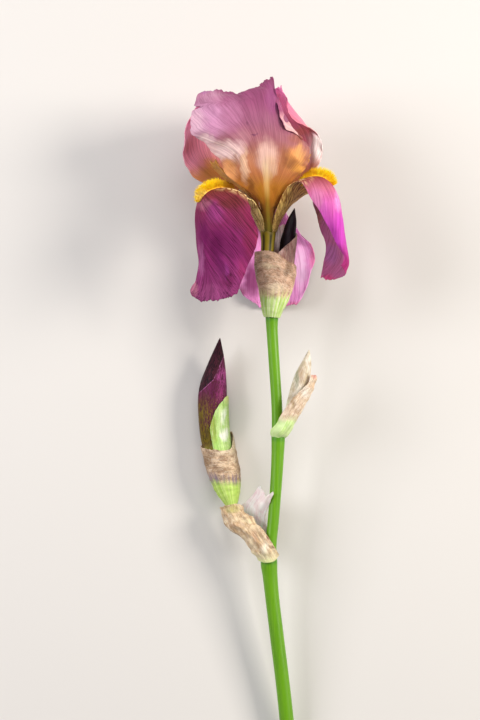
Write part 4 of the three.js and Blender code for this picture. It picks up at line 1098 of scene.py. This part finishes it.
# ---- Stamens ----
# A thin white filament with a long cream anther lies under each style arm, hidden from most sides. Each station is
# its distance from the axis, its height and its radius.
STAMEN_STATIONS = [
    (2.9, TEPAL_SEAT, 0.42),
    (4.6, 9, 0.45),
    (7.4, 15, 0.5),
    (9.2, 18, 1.0),
    (11.5, 21, 1.25),
    (15.5, 24.6, 1.2),
    (18.5, 26.8, 0.5),
]


def anther_groove(u, v):
    """The relief of an anther: the grooves between its pollen sacs, which end at the filament."""
    return 0.12 * (np.abs(np.cos(2 * np.pi * u)) - 1) * np.clip(6 * v - 3, 0, 1)


# Anther: dusty cream pollen sacs on a waxy white filament.
pollen_cream, shader = surface_of("pollen_cream", 0.8, soft=0.1)
tree = pollen_cream.node_tree
dust = add(tree, "TexNoise", {"Vector": stand_position(tree), "Scale": 3.0, "Detail": 3.0}).outputs["Fac"]
tree.links.new(mixed(tree, dust, tone("#F4EEDC"), tone("#E2D2A4")), shader.inputs["Base Color"])
bump = add(tree, "Bump", {"Height": dust, "Strength": 0.5, "Distance": 0.0002})
tree.links.new(bump.outputs["Normal"], shader.inputs["Normal"])
for side, azimuth in STYLE_AZIMUTH.items():
    path = [[*round_axis(azimuth, radius, height), thick] for radius, height, thick in STAMEN_STATIONS]
    stamen = skin(f"{side}_stamen", spindle(path, anther_groove), 16, 60, closed=True)
    dress(stamen, pollen_cream)
    kept(stamen, "anther", f"stamen_{side}")

# ---- Second bud ----
# The next flower, still closed beside the tube: its falls are furled round it in a spiral, so dark that it is nearly
# black, with a satin sheen.
SECOND_BUD_STATIONS = [
    [4.1, STALK_TOP + 2 * SEAT, 0.2, 1.0],
    [6.4, -37, 0.6, 2.0],
    [8.6, -26, 1.0, 3.3],
    [10.2, -14, 1.0, 4.0],
    [12.1, -2, 0.8, 4.1],
    [14.2, 8, 0.6, 2.9],
    [15.9, 16, 0.4, 0.25],
]


def furled(turns, height, start, sharp=8.0):
    """The spiral of petal edges round a bud: each stands a little proud of the petal under it, then steps down."""

    def relief(u, v):
        spiral = (3 * (u + turns * v + 0.1)) % 1
        step = np.minimum(spiral, np.clip(sharp * (1 - spiral), 0, 1))
        shown = np.clip(6 * (v - start), 0, 1) * np.clip(8 * (0.97 - v), 0, 1)
        return height * shown * (step - 0.5)

    return relief


second_bud = skin("second_bud_closed", spindle(SECOND_BUD_STATIONS, furled(0.7, 0.09, 0.3)), 90, 130, closed=True)
kept(second_bud, "dark_bud", "second_bud")
bud_black = tissue("bud_petal_black", "#12040C", [
    ("#280A1C", (13, -2), (3, 12), 0.7),
    ("#3A142C", (16, 12), (2, 5), 0.5),
], "#0A0206", (70, 0.3), 0.5, rough=0.45, soft=0.0, sheen=0.0, gloss=0.3)
dress(second_bud, bud_black)

# ---- Spathe of the bloom ----
# Two bracts clasp the tube and the second bud. The outer one has dried to brown paper above and is still pale green
# and fleshy at its foot; the inner one is a thin brown membrane that stands up behind the bud. Each station of the
# oval is its centre and its radius across and in depth.
SPATHE_OVAL = [
    [2.3, -49.4, 0, 4.7, 4.7],
    [2.5, -46.4, 0, 5.5, 5.5],
    [3.0, -42, 0, 6.9, 6.2],
    [4.0, -35, 0.2, 9.0, 6.9],
    [4.6, -28, 0.4, 10.8, 7.5],
    [4.7, -20, 0.5, 12.0, 7.9],
    [4.9, -14, 0.5, 12.4, 8.0],
    [5.2, -9, 0.5, 12.7, 8.0],
    [5.7, -3, 0.5, 12.8, 7.8],
    [6.2, 3.5, 0.5, 12.5, 7.6],
    [7.6, 10, 0.2, 11.2, 8.6],
]


def clasping(body, off, first, last, foot, rim):
    """A bract that clasps a body given by stations. It stands off the body, covers the angles from first to last, and
    rises from its foot to a rim given at even angles; foot and rim are shares of the body's length."""
    body = np.array([[*station, station[3]][:5] for station in body])
    rim = np.array(rim)[:, None]

    def surface(u, v):
        share = foot + (along(rim, u)[:, 0] - foot) * v
        angle = np.radians(first + (last - first) * u)[:, None]
        right, front = directions(body[:, :3], share)
        radius = along(body[:, 3:], share) + off
        sideways = np.sin(angle) * radius[:, :1] * right
        return along(body[:, :3], share) + sideways + np.cos(angle) * radius[:, 1:] * front

    return surface


def wrinkled(height, count, seed, lengthwise=2.5):
    """The wrinkles of a drying bract, pushed outwards: count of them across the sheet and a few along each."""

    def lift(u, v, _):
        folds = [perlin.noise(Vector((count * p, lengthwise * q, seed))) for p, q in zip(u, v)]
        return height * (0.45 + np.array(folds)) * np.clip(5 * v, 0, 1)

    return lift


def paper(name, light, dark, spots, creases, crease_shade_colour, fresh=None, rough=0.6, soft=0.12):
    """Bract tissue that has dried to paper: mottled between two tones, washed with spots and finely creased, with
    painted shade in the sunk creases and a painted highlight on the raised ones; creases is how many there are
    across it and along it. fresh is its green foot: the height in millimetres where that ends, its two colours,
    the tint of its ragged border and how far that reaches. rough and soft are the surface's."""
    material, shader = surface_of(name, rough, soft=soft)
    tree = material.node_tree
    place, plan = stand_position(tree), own_plan(tree)
    mottle = add(tree, "TexNoise", {"Vector": place, "Scale": 0.25, "Detail": 5.0, "Roughness": 0.6}).outputs["Fac"]
    colour = mixed(tree, banded(tree, mottle, 0.38, 0.62), tone(light), tone(dark))
    colour = washes(tree, place, colour, spots)
    across, lengthwise = creases
    # Painted shade darkens the sunk creases, and a painted highlight lightens the raised ones.
    sunk_crease_shade = fine_lines(tree, plan, across, lengthwise, width=0.07, wander=0.8)
    raised = fine_lines(tree, plan, across * 0.8, lengthwise * 0.7, width=0.05, shift=9.0, wander=1.2)
    amount = add(tree, "Math", {0: sunk_crease_shade, 1: 0.5}, operation="MULTIPLY").outputs[0]
    colour = mixed(tree, amount, colour, tone(crease_shade_colour), "MULTIPLY")
    amount = add(tree, "Math", {0: raised, 1: 0.3}, operation="MULTIPLY").outputs[0]
    colour = mixed(tree, amount, colour, tone("#FFF4E0"))
    if fresh:
        level, pale, green, border, reach = fresh
        ragged = streaks(tree, plan, across=60, lengthwise=0.8)
        height = add(tree, "SeparateXYZ", {"Vector": place}).outputs["Y"]
        height = add(tree, "Math", {0: ragged, 1: 2.2 * reach, 2: height}, operation="MULTIPLY_ADD").outputs[0]
        level += 1.1 * reach
        ribs = streaks(tree, plan, across=44, lengthwise=0.7, detail=2.0, shift=5.0)
        flesh = mixed(tree, banded(tree, ribs, 0.25, 0.85), tone(green), tone(pale))
        above = banded(tree, height, level + reach, level)
        tinted = mixed(tree, banded(tree, ribs, 0.4, 0.62), tone(border), colour)
        colour = mixed(tree, above, colour, tinted)
        colour = mixed(tree, banded(tree, height, level, level - reach), colour, flesh)
    tree.links.new(colour, shader.inputs["Base Color"])
    bump = add(tree, "Bump", {"Height": sunk_crease_shade, "Strength": 0.5, "Distance": 0.0004}, invert=True).outputs["Normal"]
    links = {"Height": raised, "Strength": 0.5, "Distance": 0.0004, "Normal": bump}
    tree.links.new(add(tree, "Bump", links).outputs["Normal"], shader.inputs["Normal"])
    return material


outer_spathe_surface = moved(
    clasping(SPATHE_OVAL, off=0, first=-172, last=172, foot=0,
             rim=[0.5, 0.576, 0.63, 0.666, 0.68, 0.698, 0.67, 0.594, 0.558, 0.518, 0.477, 0.432, 0.4]),
    fold([(-9, -23), (-3, -19.5), (5, -19), (12, -21), (18, -26)], 0.7, 3.0, 1.2),
    fold([(-8, -29), (-2, -25), (5, -26)], 0.4, 1.6, 1.0),
    fold([(14, -12), (12, -22), (8, -33)], 0.5, 1.0, 2.0),
    wrinkled(0.35, 22, 3.0),
    wrinkled(0.45, 5, 5.0, 11),
)
outer_spathe = petal(
    "outer_spathe", "spathe_outer", notched(outer_spathe_surface, 31.0, 0.02), "papery_bract", 150, 110,
)
inner_spathe_surface = moved(
    clasping(SPATHE_OVAL, off=-1.2, first=0, last=262, foot=0.1,
             rim=[0.66, 0.78, 0.846, 0.891, 0.93, 0.98, 0.88, 0.7, 0.6]),
    wrinkled(-0.3, 16, 7.0),
)
inner_spathe = petal(
    "inner_spathe", "spathe_inner", notched(inner_spathe_surface, 33.0, 0.02), "papery_bract", 120, 110,
)

outer_paper = paper("bract_paper_brown", "#DEB89A", "#B89074", [
    # Painted highlight: a pale band along the ridge of the arched wrinkle.
    ("#E4CCA8", (0, -19), (9, 2.2), 0.9),
    ("#A08468", (-1, -14), (6, 2), 0.7),
    ("#8E6E50", (12, -20), (4, 7), 0.8),
    ("#8A6A4C", (-8, -22), (2.5, 9), 0.7),
    ("#F6DEBC", (4, -32), (9, 5), 0.9),
    ("#8E5848", (13, -13), (5, 6), 0.8),
], (16, 60), "#A07A54", fresh=(-35.2, "#F2F6D2", "#A8D240", "#DCCE98", 4.0), rough=0.55)
inner_paper = paper("bract_membrane_brown", "#AC7C70", "#845850", [
    ("#D4B09C", (16, -2), (3, 9), 0.8),
    ("#8E6860", (13, -14), (3, 7), 0.6),
    ("#FFE6E4", (7.0, 2), (6, 16), 1.0),
], (46, 1.6), "#9C7870", fresh=(-36.5, "#E4E8B8", "#A8CC60", "#C8B888", 3.0), rough=0.5, soft=0.25)
dress(outer_spathe, outer_paper, outer_paper)
dress(inner_spathe, inner_paper, inner_paper)

# ---- Left bud ----
# The large bud on the left branch, about to open: three falls furled round it, plum with a blackish overlapping edge
# that winds down it, and olive at its foot.
LEFT_BUD_STATIONS = [
    [-22.5, -163.1, -10.5, 1.5],
    [-24.6, -154, -13.8, 5.3],
    [-27.0, -144, -16.6, 7.6],
    [-30.0, -132, -18.7, 8.2],
    [-32.4, -120, -20.6, 8.6],
    [-33.4, -106, -22.3, 8.8],
    [-33.2, -95, -23.1, 8.6],
    [-32.0, -84, -23.6, 6.9],
    [-30.4, -73, -24.0, 4.0],
    [-29.0, -61.8, -24.2, 0.3],
]


def beyond(tree, place, first, last, soft):
    """1 on the left of the line from first to last, seen from the front, and 0 on its right, with a soft edge."""
    run = Vector(last) - Vector(first)
    square = Vector((-run.y, run.x, 0)).normalized()
    off = square.dot(Vector((*first, 0)))
    distance = add(tree, "VectorMath", {0: place, 1: square}, operation="DOT_PRODUCT").outputs["Value"]
    return banded(tree, distance, off - soft, off + soft)


left_bud = skin("left_bud_closed", spindle(LEFT_BUD_STATIONS, furled(0.62, 0.075, 0.35)), 150, 220, closed=True)
kept(left_bud, "bud_petal", "left_bud")

# Furled falls: satin plum tissue with fine darker lines that wind up the bud.
satin_plum, shader = surface_of("bud_petal_plum", 0.5, soft=0.0, gloss=0.15)
tree = satin_plum.node_tree
place = stand_position(tree)
plum = washes(tree, place, tone("#641C46"), [
    # Painted light: paler, pinker plum down the bud's right flank, which faces the main light.
    ("#9A3474", (-27, -96), (4.0, 12), 0.9),
    ("#B44C94", (-27.5, -84), (4.0, 9), 0.9),
    ("#4A1638", (-33, -98), (2.5, 14), 0.6),
    ("#5E3C1C", (-38, -104), (6, 12), 0.75),
    ("#5A5000", (-41, -112.5), (6.4, 17), 1.0),
    ("#443C00", (-36, -121), (12, 11), 1.0),
    ("#98A838", (-33, -133), (14, 8), 1.0),
])
for shift, code in ((0.45, "#B06496"), (0.0, "#0E0008")):
    lower = beyond(tree, place, (-42.0 + shift, -95.2), (-35.9 + shift, -89.6), 0.15)
    upper = beyond(tree, place, (-31.7 + shift, -84.0), (-28.0 + shift, -75.6), 0.15)
    flap = add(tree, "Math", {0: lower, 1: upper}, operation="MULTIPLY").outputs[0]
    plum = mixed(tree, flap, plum, tone(code))
plum = washes(tree, place, plum, [("#421428", (-31, -78), (1.4, 12), 0.7)])
net = fine_lines(tree, own_plan(tree), 44, 22.0, 0.12, wander=1.2)
height = add(tree, "SeparateXYZ", {"Vector": place}).outputs["Y"]
edge = add(tree, "Math", {0: banded(tree, height, -92, -110), 1: net}, operation="MULTIPLY").outputs[0]
plum = mixed(tree, edge, plum, tone("#786408"))
net = fine_lines(tree, own_plan(tree), 38, 18.0, 0.1, shift=4.0, wander=1.2)
edge = add(tree, "Math", {0: banded(tree, height, -126, -112), 1: net}, operation="MULTIPLY").outputs[0]
plum = mixed(tree, edge, plum, tone("#4A1A28"))
winding = add(tree, "SeparateXYZ", {"Vector": add(tree, "TexCoord").outputs["UV"]})
turn = add(tree, "Math", {0: winding.outputs["Y"], 1: 36.0, 2: 0.0}, operation="MULTIPLY_ADD").outputs[0]
turn = add(tree, "Math", {0: winding.outputs["X"], 1: 64.0, 2: turn}, operation="MULTIPLY_ADD").outputs[0]
turn = add(tree, "Math", {0: turn, 1: math.tau}, operation="MULTIPLY").outputs[0]
lines = banded(tree, add(tree, "Math", {0: turn}, operation="SINE").outputs[0], 0.0, 1.0)
plum = mixed(tree, lines, plum, mixed(tree, 0.3, plum, tone("#30081C")))
tree.links.new(plum, shader.inputs["Base Color"])
bump = add(tree, "Bump", {"Height": lines, "Strength": 0.2, "Distance": 0.0002})
tree.links.new(bump.outputs["Normal"], shader.inputs["Normal"])
dress(left_bud, satin_plum)

# ---- Spathes of the left bud ----
# A dry brown bract wraps the foot of the bud; inside it a green one, still fresh, stands up against the bud as a
# pointed tongue with a thin pale margin.
PAPER_OFFSET = 1.5
PAPER_SHIFT = 0.9
left_paper_stations = [[x + PAPER_SHIFT, y, z, r] for x, y, z, r in LEFT_BUD_STATIONS]
left_paper_surface = above_table(moved(
    clasping(left_paper_stations, off=PAPER_OFFSET, first=-176, last=176, foot=0,
             rim=[0.38, 0.40, 0.41, 0.405, 0.385, 0.37, 0.35, 0.34, 0.36, 0.43, 0.46, 0.43, 0.38]),
    fold([(-38, -141), (-30, -144), (-24, -145), (-17, -143)], 0.5, 1.6, 1.0),
    fold([(-37, -136), (-30, -139), (-22, -137)], 0.5, 1.2, 1.8),
    fold([(-40, -128), (-34, -133), (-27, -134)], -0.4, 1.2, 1.2),
    wrinkled(0.3, 22, 9.0),
    wrinkled(0.35, 6, 12.0, 14),
))
left_paper = petal(
    "left_paper_spathe", "left_spathe_outer", notched(left_paper_surface, 35.0, 0.02), "papery_bract", 140, 120,
)
left_green_surface = moved(
    clasping(LEFT_BUD_STATIONS, off=0.75, first=-14, last=150, foot=0.2,
             rim=[0.47, 0.54, 0.595, 0.635, 0.66, 0.64, 0.58, 0.51, 0.42]),
    wrinkled(0.15, 14, 14.0, 1.5),
)
left_green = petal(
    "left_green_spathe", "left_spathe_inner", notched(left_green_surface, 37.0, 0.015), "green_spathe", 90, 120,
)

left_paper_tissue = paper("bract_paper_tan", "#DCC09E", "#A88868", [
    ("#E8D4B4", (-26, -131), (8, 2.6), 0.9),
    ("#86643E", (-37, -135), (4, 7), 0.8),
    ("#A07E5C", (-30, -141), (10, 3), 0.6),
    ("#EAD8B2", (-21, -126), (3, 8), 0.8),
], (16, 46), "#946A58", fresh=(-146.5, "#D8EC90", "#A6CC48", "#8C7882", 5.0), rough=0.6)
left_green_tissue = paper("fresh_green_spathe", "#C0DC88", "#A8D068", [
    # Painted highlight: a near white streak down the middle of the tongue.
    ("#F0F6E4", (-26.5, -109), (2.4, 7), 0.9),
    ("#90A428", (-33, -116), (2.6, 13), 0.9),
    ("#DCE48C", (-24.5, -98), (2.4, 5), 0.8),
    ("#E0B468", (-20.5, -112), (1.2, 12), 0.8),
    # Painted highlight: a near white patch lower on the tongue.
    ("#F6F6EC", (-26.5, -120), (4, 5), 0.9),
], (40, 1.2), "#7AB038", rough=0.45, soft=0.2)
dress(left_paper, left_paper_tissue, left_paper_tissue)
dress(left_green, left_green_tissue, left_green_tissue)

# ---- Bracts of the left branch ----
# The bract that springs from the node, crosses in front of the stalk and cups the branch, and the thin one behind it,
# whose two pale translucent lobes stand up beside the stalk. Both are dry and creased.
LOWER_BRACT = [
    [[-5.8, -193, -4.8], [-5.6, -195, 1.0], [-1.2, -196.4, 5.8], [3.4, -195.4, 5.4], [6.4, -192, 0.6]],
    [[-7.6, -189.6, -6.0], [-8.3, -190.6, -0.4], [-4.9, -190.4, 4.4], [0.6, -190, 5.8], [5.2, -189.2, 3.8]],
    [[-9.5, -186, -6.1], [-11.2, -187.2, -1.6], [-8.4, -185.6, 2.5], [-3.0, -184.8, 4.1], [3.2, -185.4, 5.0]],
    [[-14.5, -179.7, -8.1], [-16.5, -180.6, -3.6], [-13.2, -178.8, 1.0], [-8.2, -177.4, 2.0], [-1.8, -178.2, 3.0]],
    [[-21.5, -175.5, -11.5], [-23.6, -176.2, -6.5], [-19.6, -173.7, -1.4], [-14, -171.2, -1.0], [-8.8, -171.4, -2.4]],
    [[-25, -168.9, -14.8], [-27.4, -168.6, -9.5], [-23.6, -167, -4.0], [-18, -166, -3.6], [-13.6, -166.5, -5.6]],
    [[-25.2, -163.6, -15.9], [-27.8, -163.4, -11.4], [-24.8, -161.8, -5.2],
     [-20.8, -160.8, -4.5], [-17.3, -161, -7.2]],
]
LOBED_BRACT = [
    [[3.6, -187.5, -6.0], [1.2, -185.5, -7.6], [-2.4, -184.5, -9.0], [-6.5, -184, -10.4], [-10, -184, -11.4]],
    [[0.2, -178, -5.6], [-2.6, -176.5, -7.6], [-7.0, -175.5, -9.8], [-11.5, -174, -12.2], [-15.5, -173, -13.6]],
    [[-1.7, -170, -4.0], [-4.6, -169, -6.8], [-9.0, -168, -9.6], [-13.5, -167, -12.6], [-18, -166, -14.6]],
    [[0.6, -162, 2.6], [-3.4, -162, -0.8], [-7.4, -162, -7.8], [-12.0, -162, -11.0], [-17, -162, -13.6]],
    [[2.6, -157, 4.8], [-0.4, -156.4, 3.0], [-3.0, -156, -4.6], [-8.0, -156, -8.6], [-13, -157, -11.0]],
    [[5.0, -152.6, 6.8], [2.0, -152, 5.0], [-1.5, -150.5, -3.0], [-5.8, -149.6, -6.6], [-10, -151, -9.0]],
]
LOBED_RIM = [0.88, 0.96, 0.88, 0.79, 0.84, 0.89, 0.94, 0.99, 0.80, 0.62, 0.58]


def trimmed_to(surface, rim):
    """The sheet cut off along a rim, given at even steps across it as shares of its length."""
    rim = np.array(rim)[:, None]

    def cut(u, v):
        return surface(u, v * along(rim, u)[:, 0])

    return cut


lower_bract_surface = moved(
    lattice(LOWER_BRACT),
    fold([(-24, -171), (-17, -175), (-10, -180), (-4, -186), (1, -193)], 0.8, 0.8, 2.2),
    fold([(-18, -166), (-10, -173), (-3, -181), (2, -190)], 0.7, 2.0, 0.8),
    fold([(-22, -164), (-20, -170), (-13, -176)], 0.7, 1.0, 1.6),
    fold([(-8, -184), (-5, -189), (-3, -194)], -0.5, 1.0, 1.0),
    margin_waves(1.2, 5, 0.6, 1.0, 3),
    wrinkled(0.9, 10, 19.0, 5.0),
    crumple(0.8, 4, 19.0),
)
lower_bract = petal("lower_bract", "left_bract", notched(lower_bract_surface, 39.0, 0.03), "pale_bract", 110, 140)
lobed_bract_surface = moved(
    trimmed_to(lattice(LOBED_BRACT), LOBED_RIM), fold([(-9, -180), (-8, -168), (-7, -158)], 0.4, 1.2, 1.2),
    crumple(0.5, 6, 22.0),
)
lobed_bract = petal(
    "lobed_bract", "left_lobed_bract", notched(lobed_bract_surface, 41.0, 0.03), "pale_bract", 90, 120,
)

lower_tissue = paper("bract_paper_cream", "#E2CCA6", "#C0A078", [
    ("#C49A78", (-8, -181), (2.4, 6), 0.6),
    ("#C49A74", (-20, -175), (6, 2), 0.6),
    ("#E8D4A8", (-12, -172), (6, 2.4), 0.7),
    ("#B6B060", (-22, -164.5), (6, 3.4), 0.7),
    ("#F0E6CC", (-2, -188), (3.4, 5), 0.9),
    ("#A8705C", (-1, -180), (1.2, 7), 0.6),
], (26, 7), "#9A6A4C", fresh=(-193, "#D0E494", "#A0C84C", "#E2DCB0", 5.0), rough=0.5, soft=0.15)
lobed_tissue = paper("bract_membrane_pale", "#FFF8F4", "#F4E2E2", [
    ("#F8DEE2", (-6, -156), (6, 5), 0.5),
    ("#F4ECE0", (1, -158), (3, 6), 0.8),
    ("#E8E0B0", (-4, -182), (8, 6), 0.9),
], (36, 2), "#E0C2C4", rough=0.5, soft=0.35)
dress(lower_bract, lower_tissue, lower_tissue)
dress(lobed_bract, lobed_tissue, lobed_tissue)

# ---- Right bud ----
# A small bud still shut in its own pale bract, held by a larger one that has dried to cream and is green at its foot.
SMALL_BUD_STATIONS = [
    [11.4, -110.15, 1.96, 1.5],
    [14.2, -103, 2.9, 3.4],
    [17.6, -94, 3.8, 4.6],
    [20.6, -85, 4.4, 4.6],
    [23.0, -77, 4.8, 3.0],
    [24.6, -69, 5.0, 0.3],
]
RIGHT_BRACT_STATIONS = [
    [5.7, -121.5, 0.0, 3.6, 3.6, -80, 172],
    [6.2, -119.2, 0.1, 4.5, 4.5, -70, 172],
    [8.1, -115.2, 0.8, 5.7, 5.6, -46, 172],
    [12.6, -107, 2.3, 5.4, 5.4, -42, 170],
    [16.6, -98.5, 3.4, 6.0, 6.0, -22, 160],
    [20.2, -91, 4.2, 6.4, 6.2, 7, 140],
    [22.3, -86.5, 4.4, 5.7, 5.7, 24, 115],
    [23.2, -82.6, 4.5, 4.9, 5.0, 26, 100],
]


def sheath(stations):
    """A sheath round an axis. Each station is its centre, its radius across and in depth, and its two edge angles."""
    stations = np.array(stations, dtype=float)

    def surface(u, v):
        right, front = directions(stations[:, :3], v)
        radius, span = along(stations[:, 3:5], v), along(stations[:, 5:7], v)
        angle = np.radians(span[:, 0] + (span[:, 1] - span[:, 0]) * u)[:, None]
        sideways = np.sin(angle) * radius[:, :1] * right
        return along(stations[:, :3], v) + sideways + np.cos(angle) * radius[:, 1:] * front

    return surface


small_bud = skin("right_bud_closed", spindle(SMALL_BUD_STATIONS, furled(0.1, 0.08, 0.1, 5.0)), 110, 130, closed=True)
kept(small_bud, "pale_bract", "right_bud")
right_bract_surface = moved(
    sheath(RIGHT_BRACT_STATIONS),
    fold([(27, -88), (20, -99), (13, -111)], 0.5, 1.8, 1.0),
    fold([(20, -93), (14, -102), (9, -112)], 0.4, 1.0, 1.6),
    wrinkled(0.8, 9, 16.0, 5.0),
    crumple(0.7, 4, 16.0),
)
right_bract = petal(
    "right_bract_dry", "right_bract", notched(right_bract_surface, 43.0, 0.03), "pale_bract", 110, 130,
)

small_bud_tissue = paper("bract_paper_grey", "#E6DCC8", "#CDBC9A", [
    ("#F0EADC", (24.5, -76), (1.6, 9), 0.9),
    ("#8E9270", (17, -86), (2.2, 9), 0.8),
    ("#B89878", (20, -84), (3, 7), 0.6),
    ("#6E6A48", (22, -70), (1.2, 4), 0.7),
    ("#D8E2A6", (13, -104), (5, 6), 0.8),
], (40, 2.5), "#A88A68", rough=0.55, soft=0.15)
right_bract_tissue = paper("bract_paper_ivory", "#F2DEC4", "#DABC9A", [
    ("#D88C80", (27.4, -84), (3.4, 3.6), 0.85),
    ("#FCF4E6", (22, -94), (4, 5), 0.8),
    ("#AC8C5C", (15, -99), (2.4, 7), 0.8),
], (24, 8), "#A87A58", fresh=(-110, "#EEF6CC", "#BCE07C", "#E8E4B8", 2.6), rough=0.55, soft=0.15)
dress(small_bud, small_bud_tissue)
dress(right_bract, right_bract_tissue, right_bract_tissue)
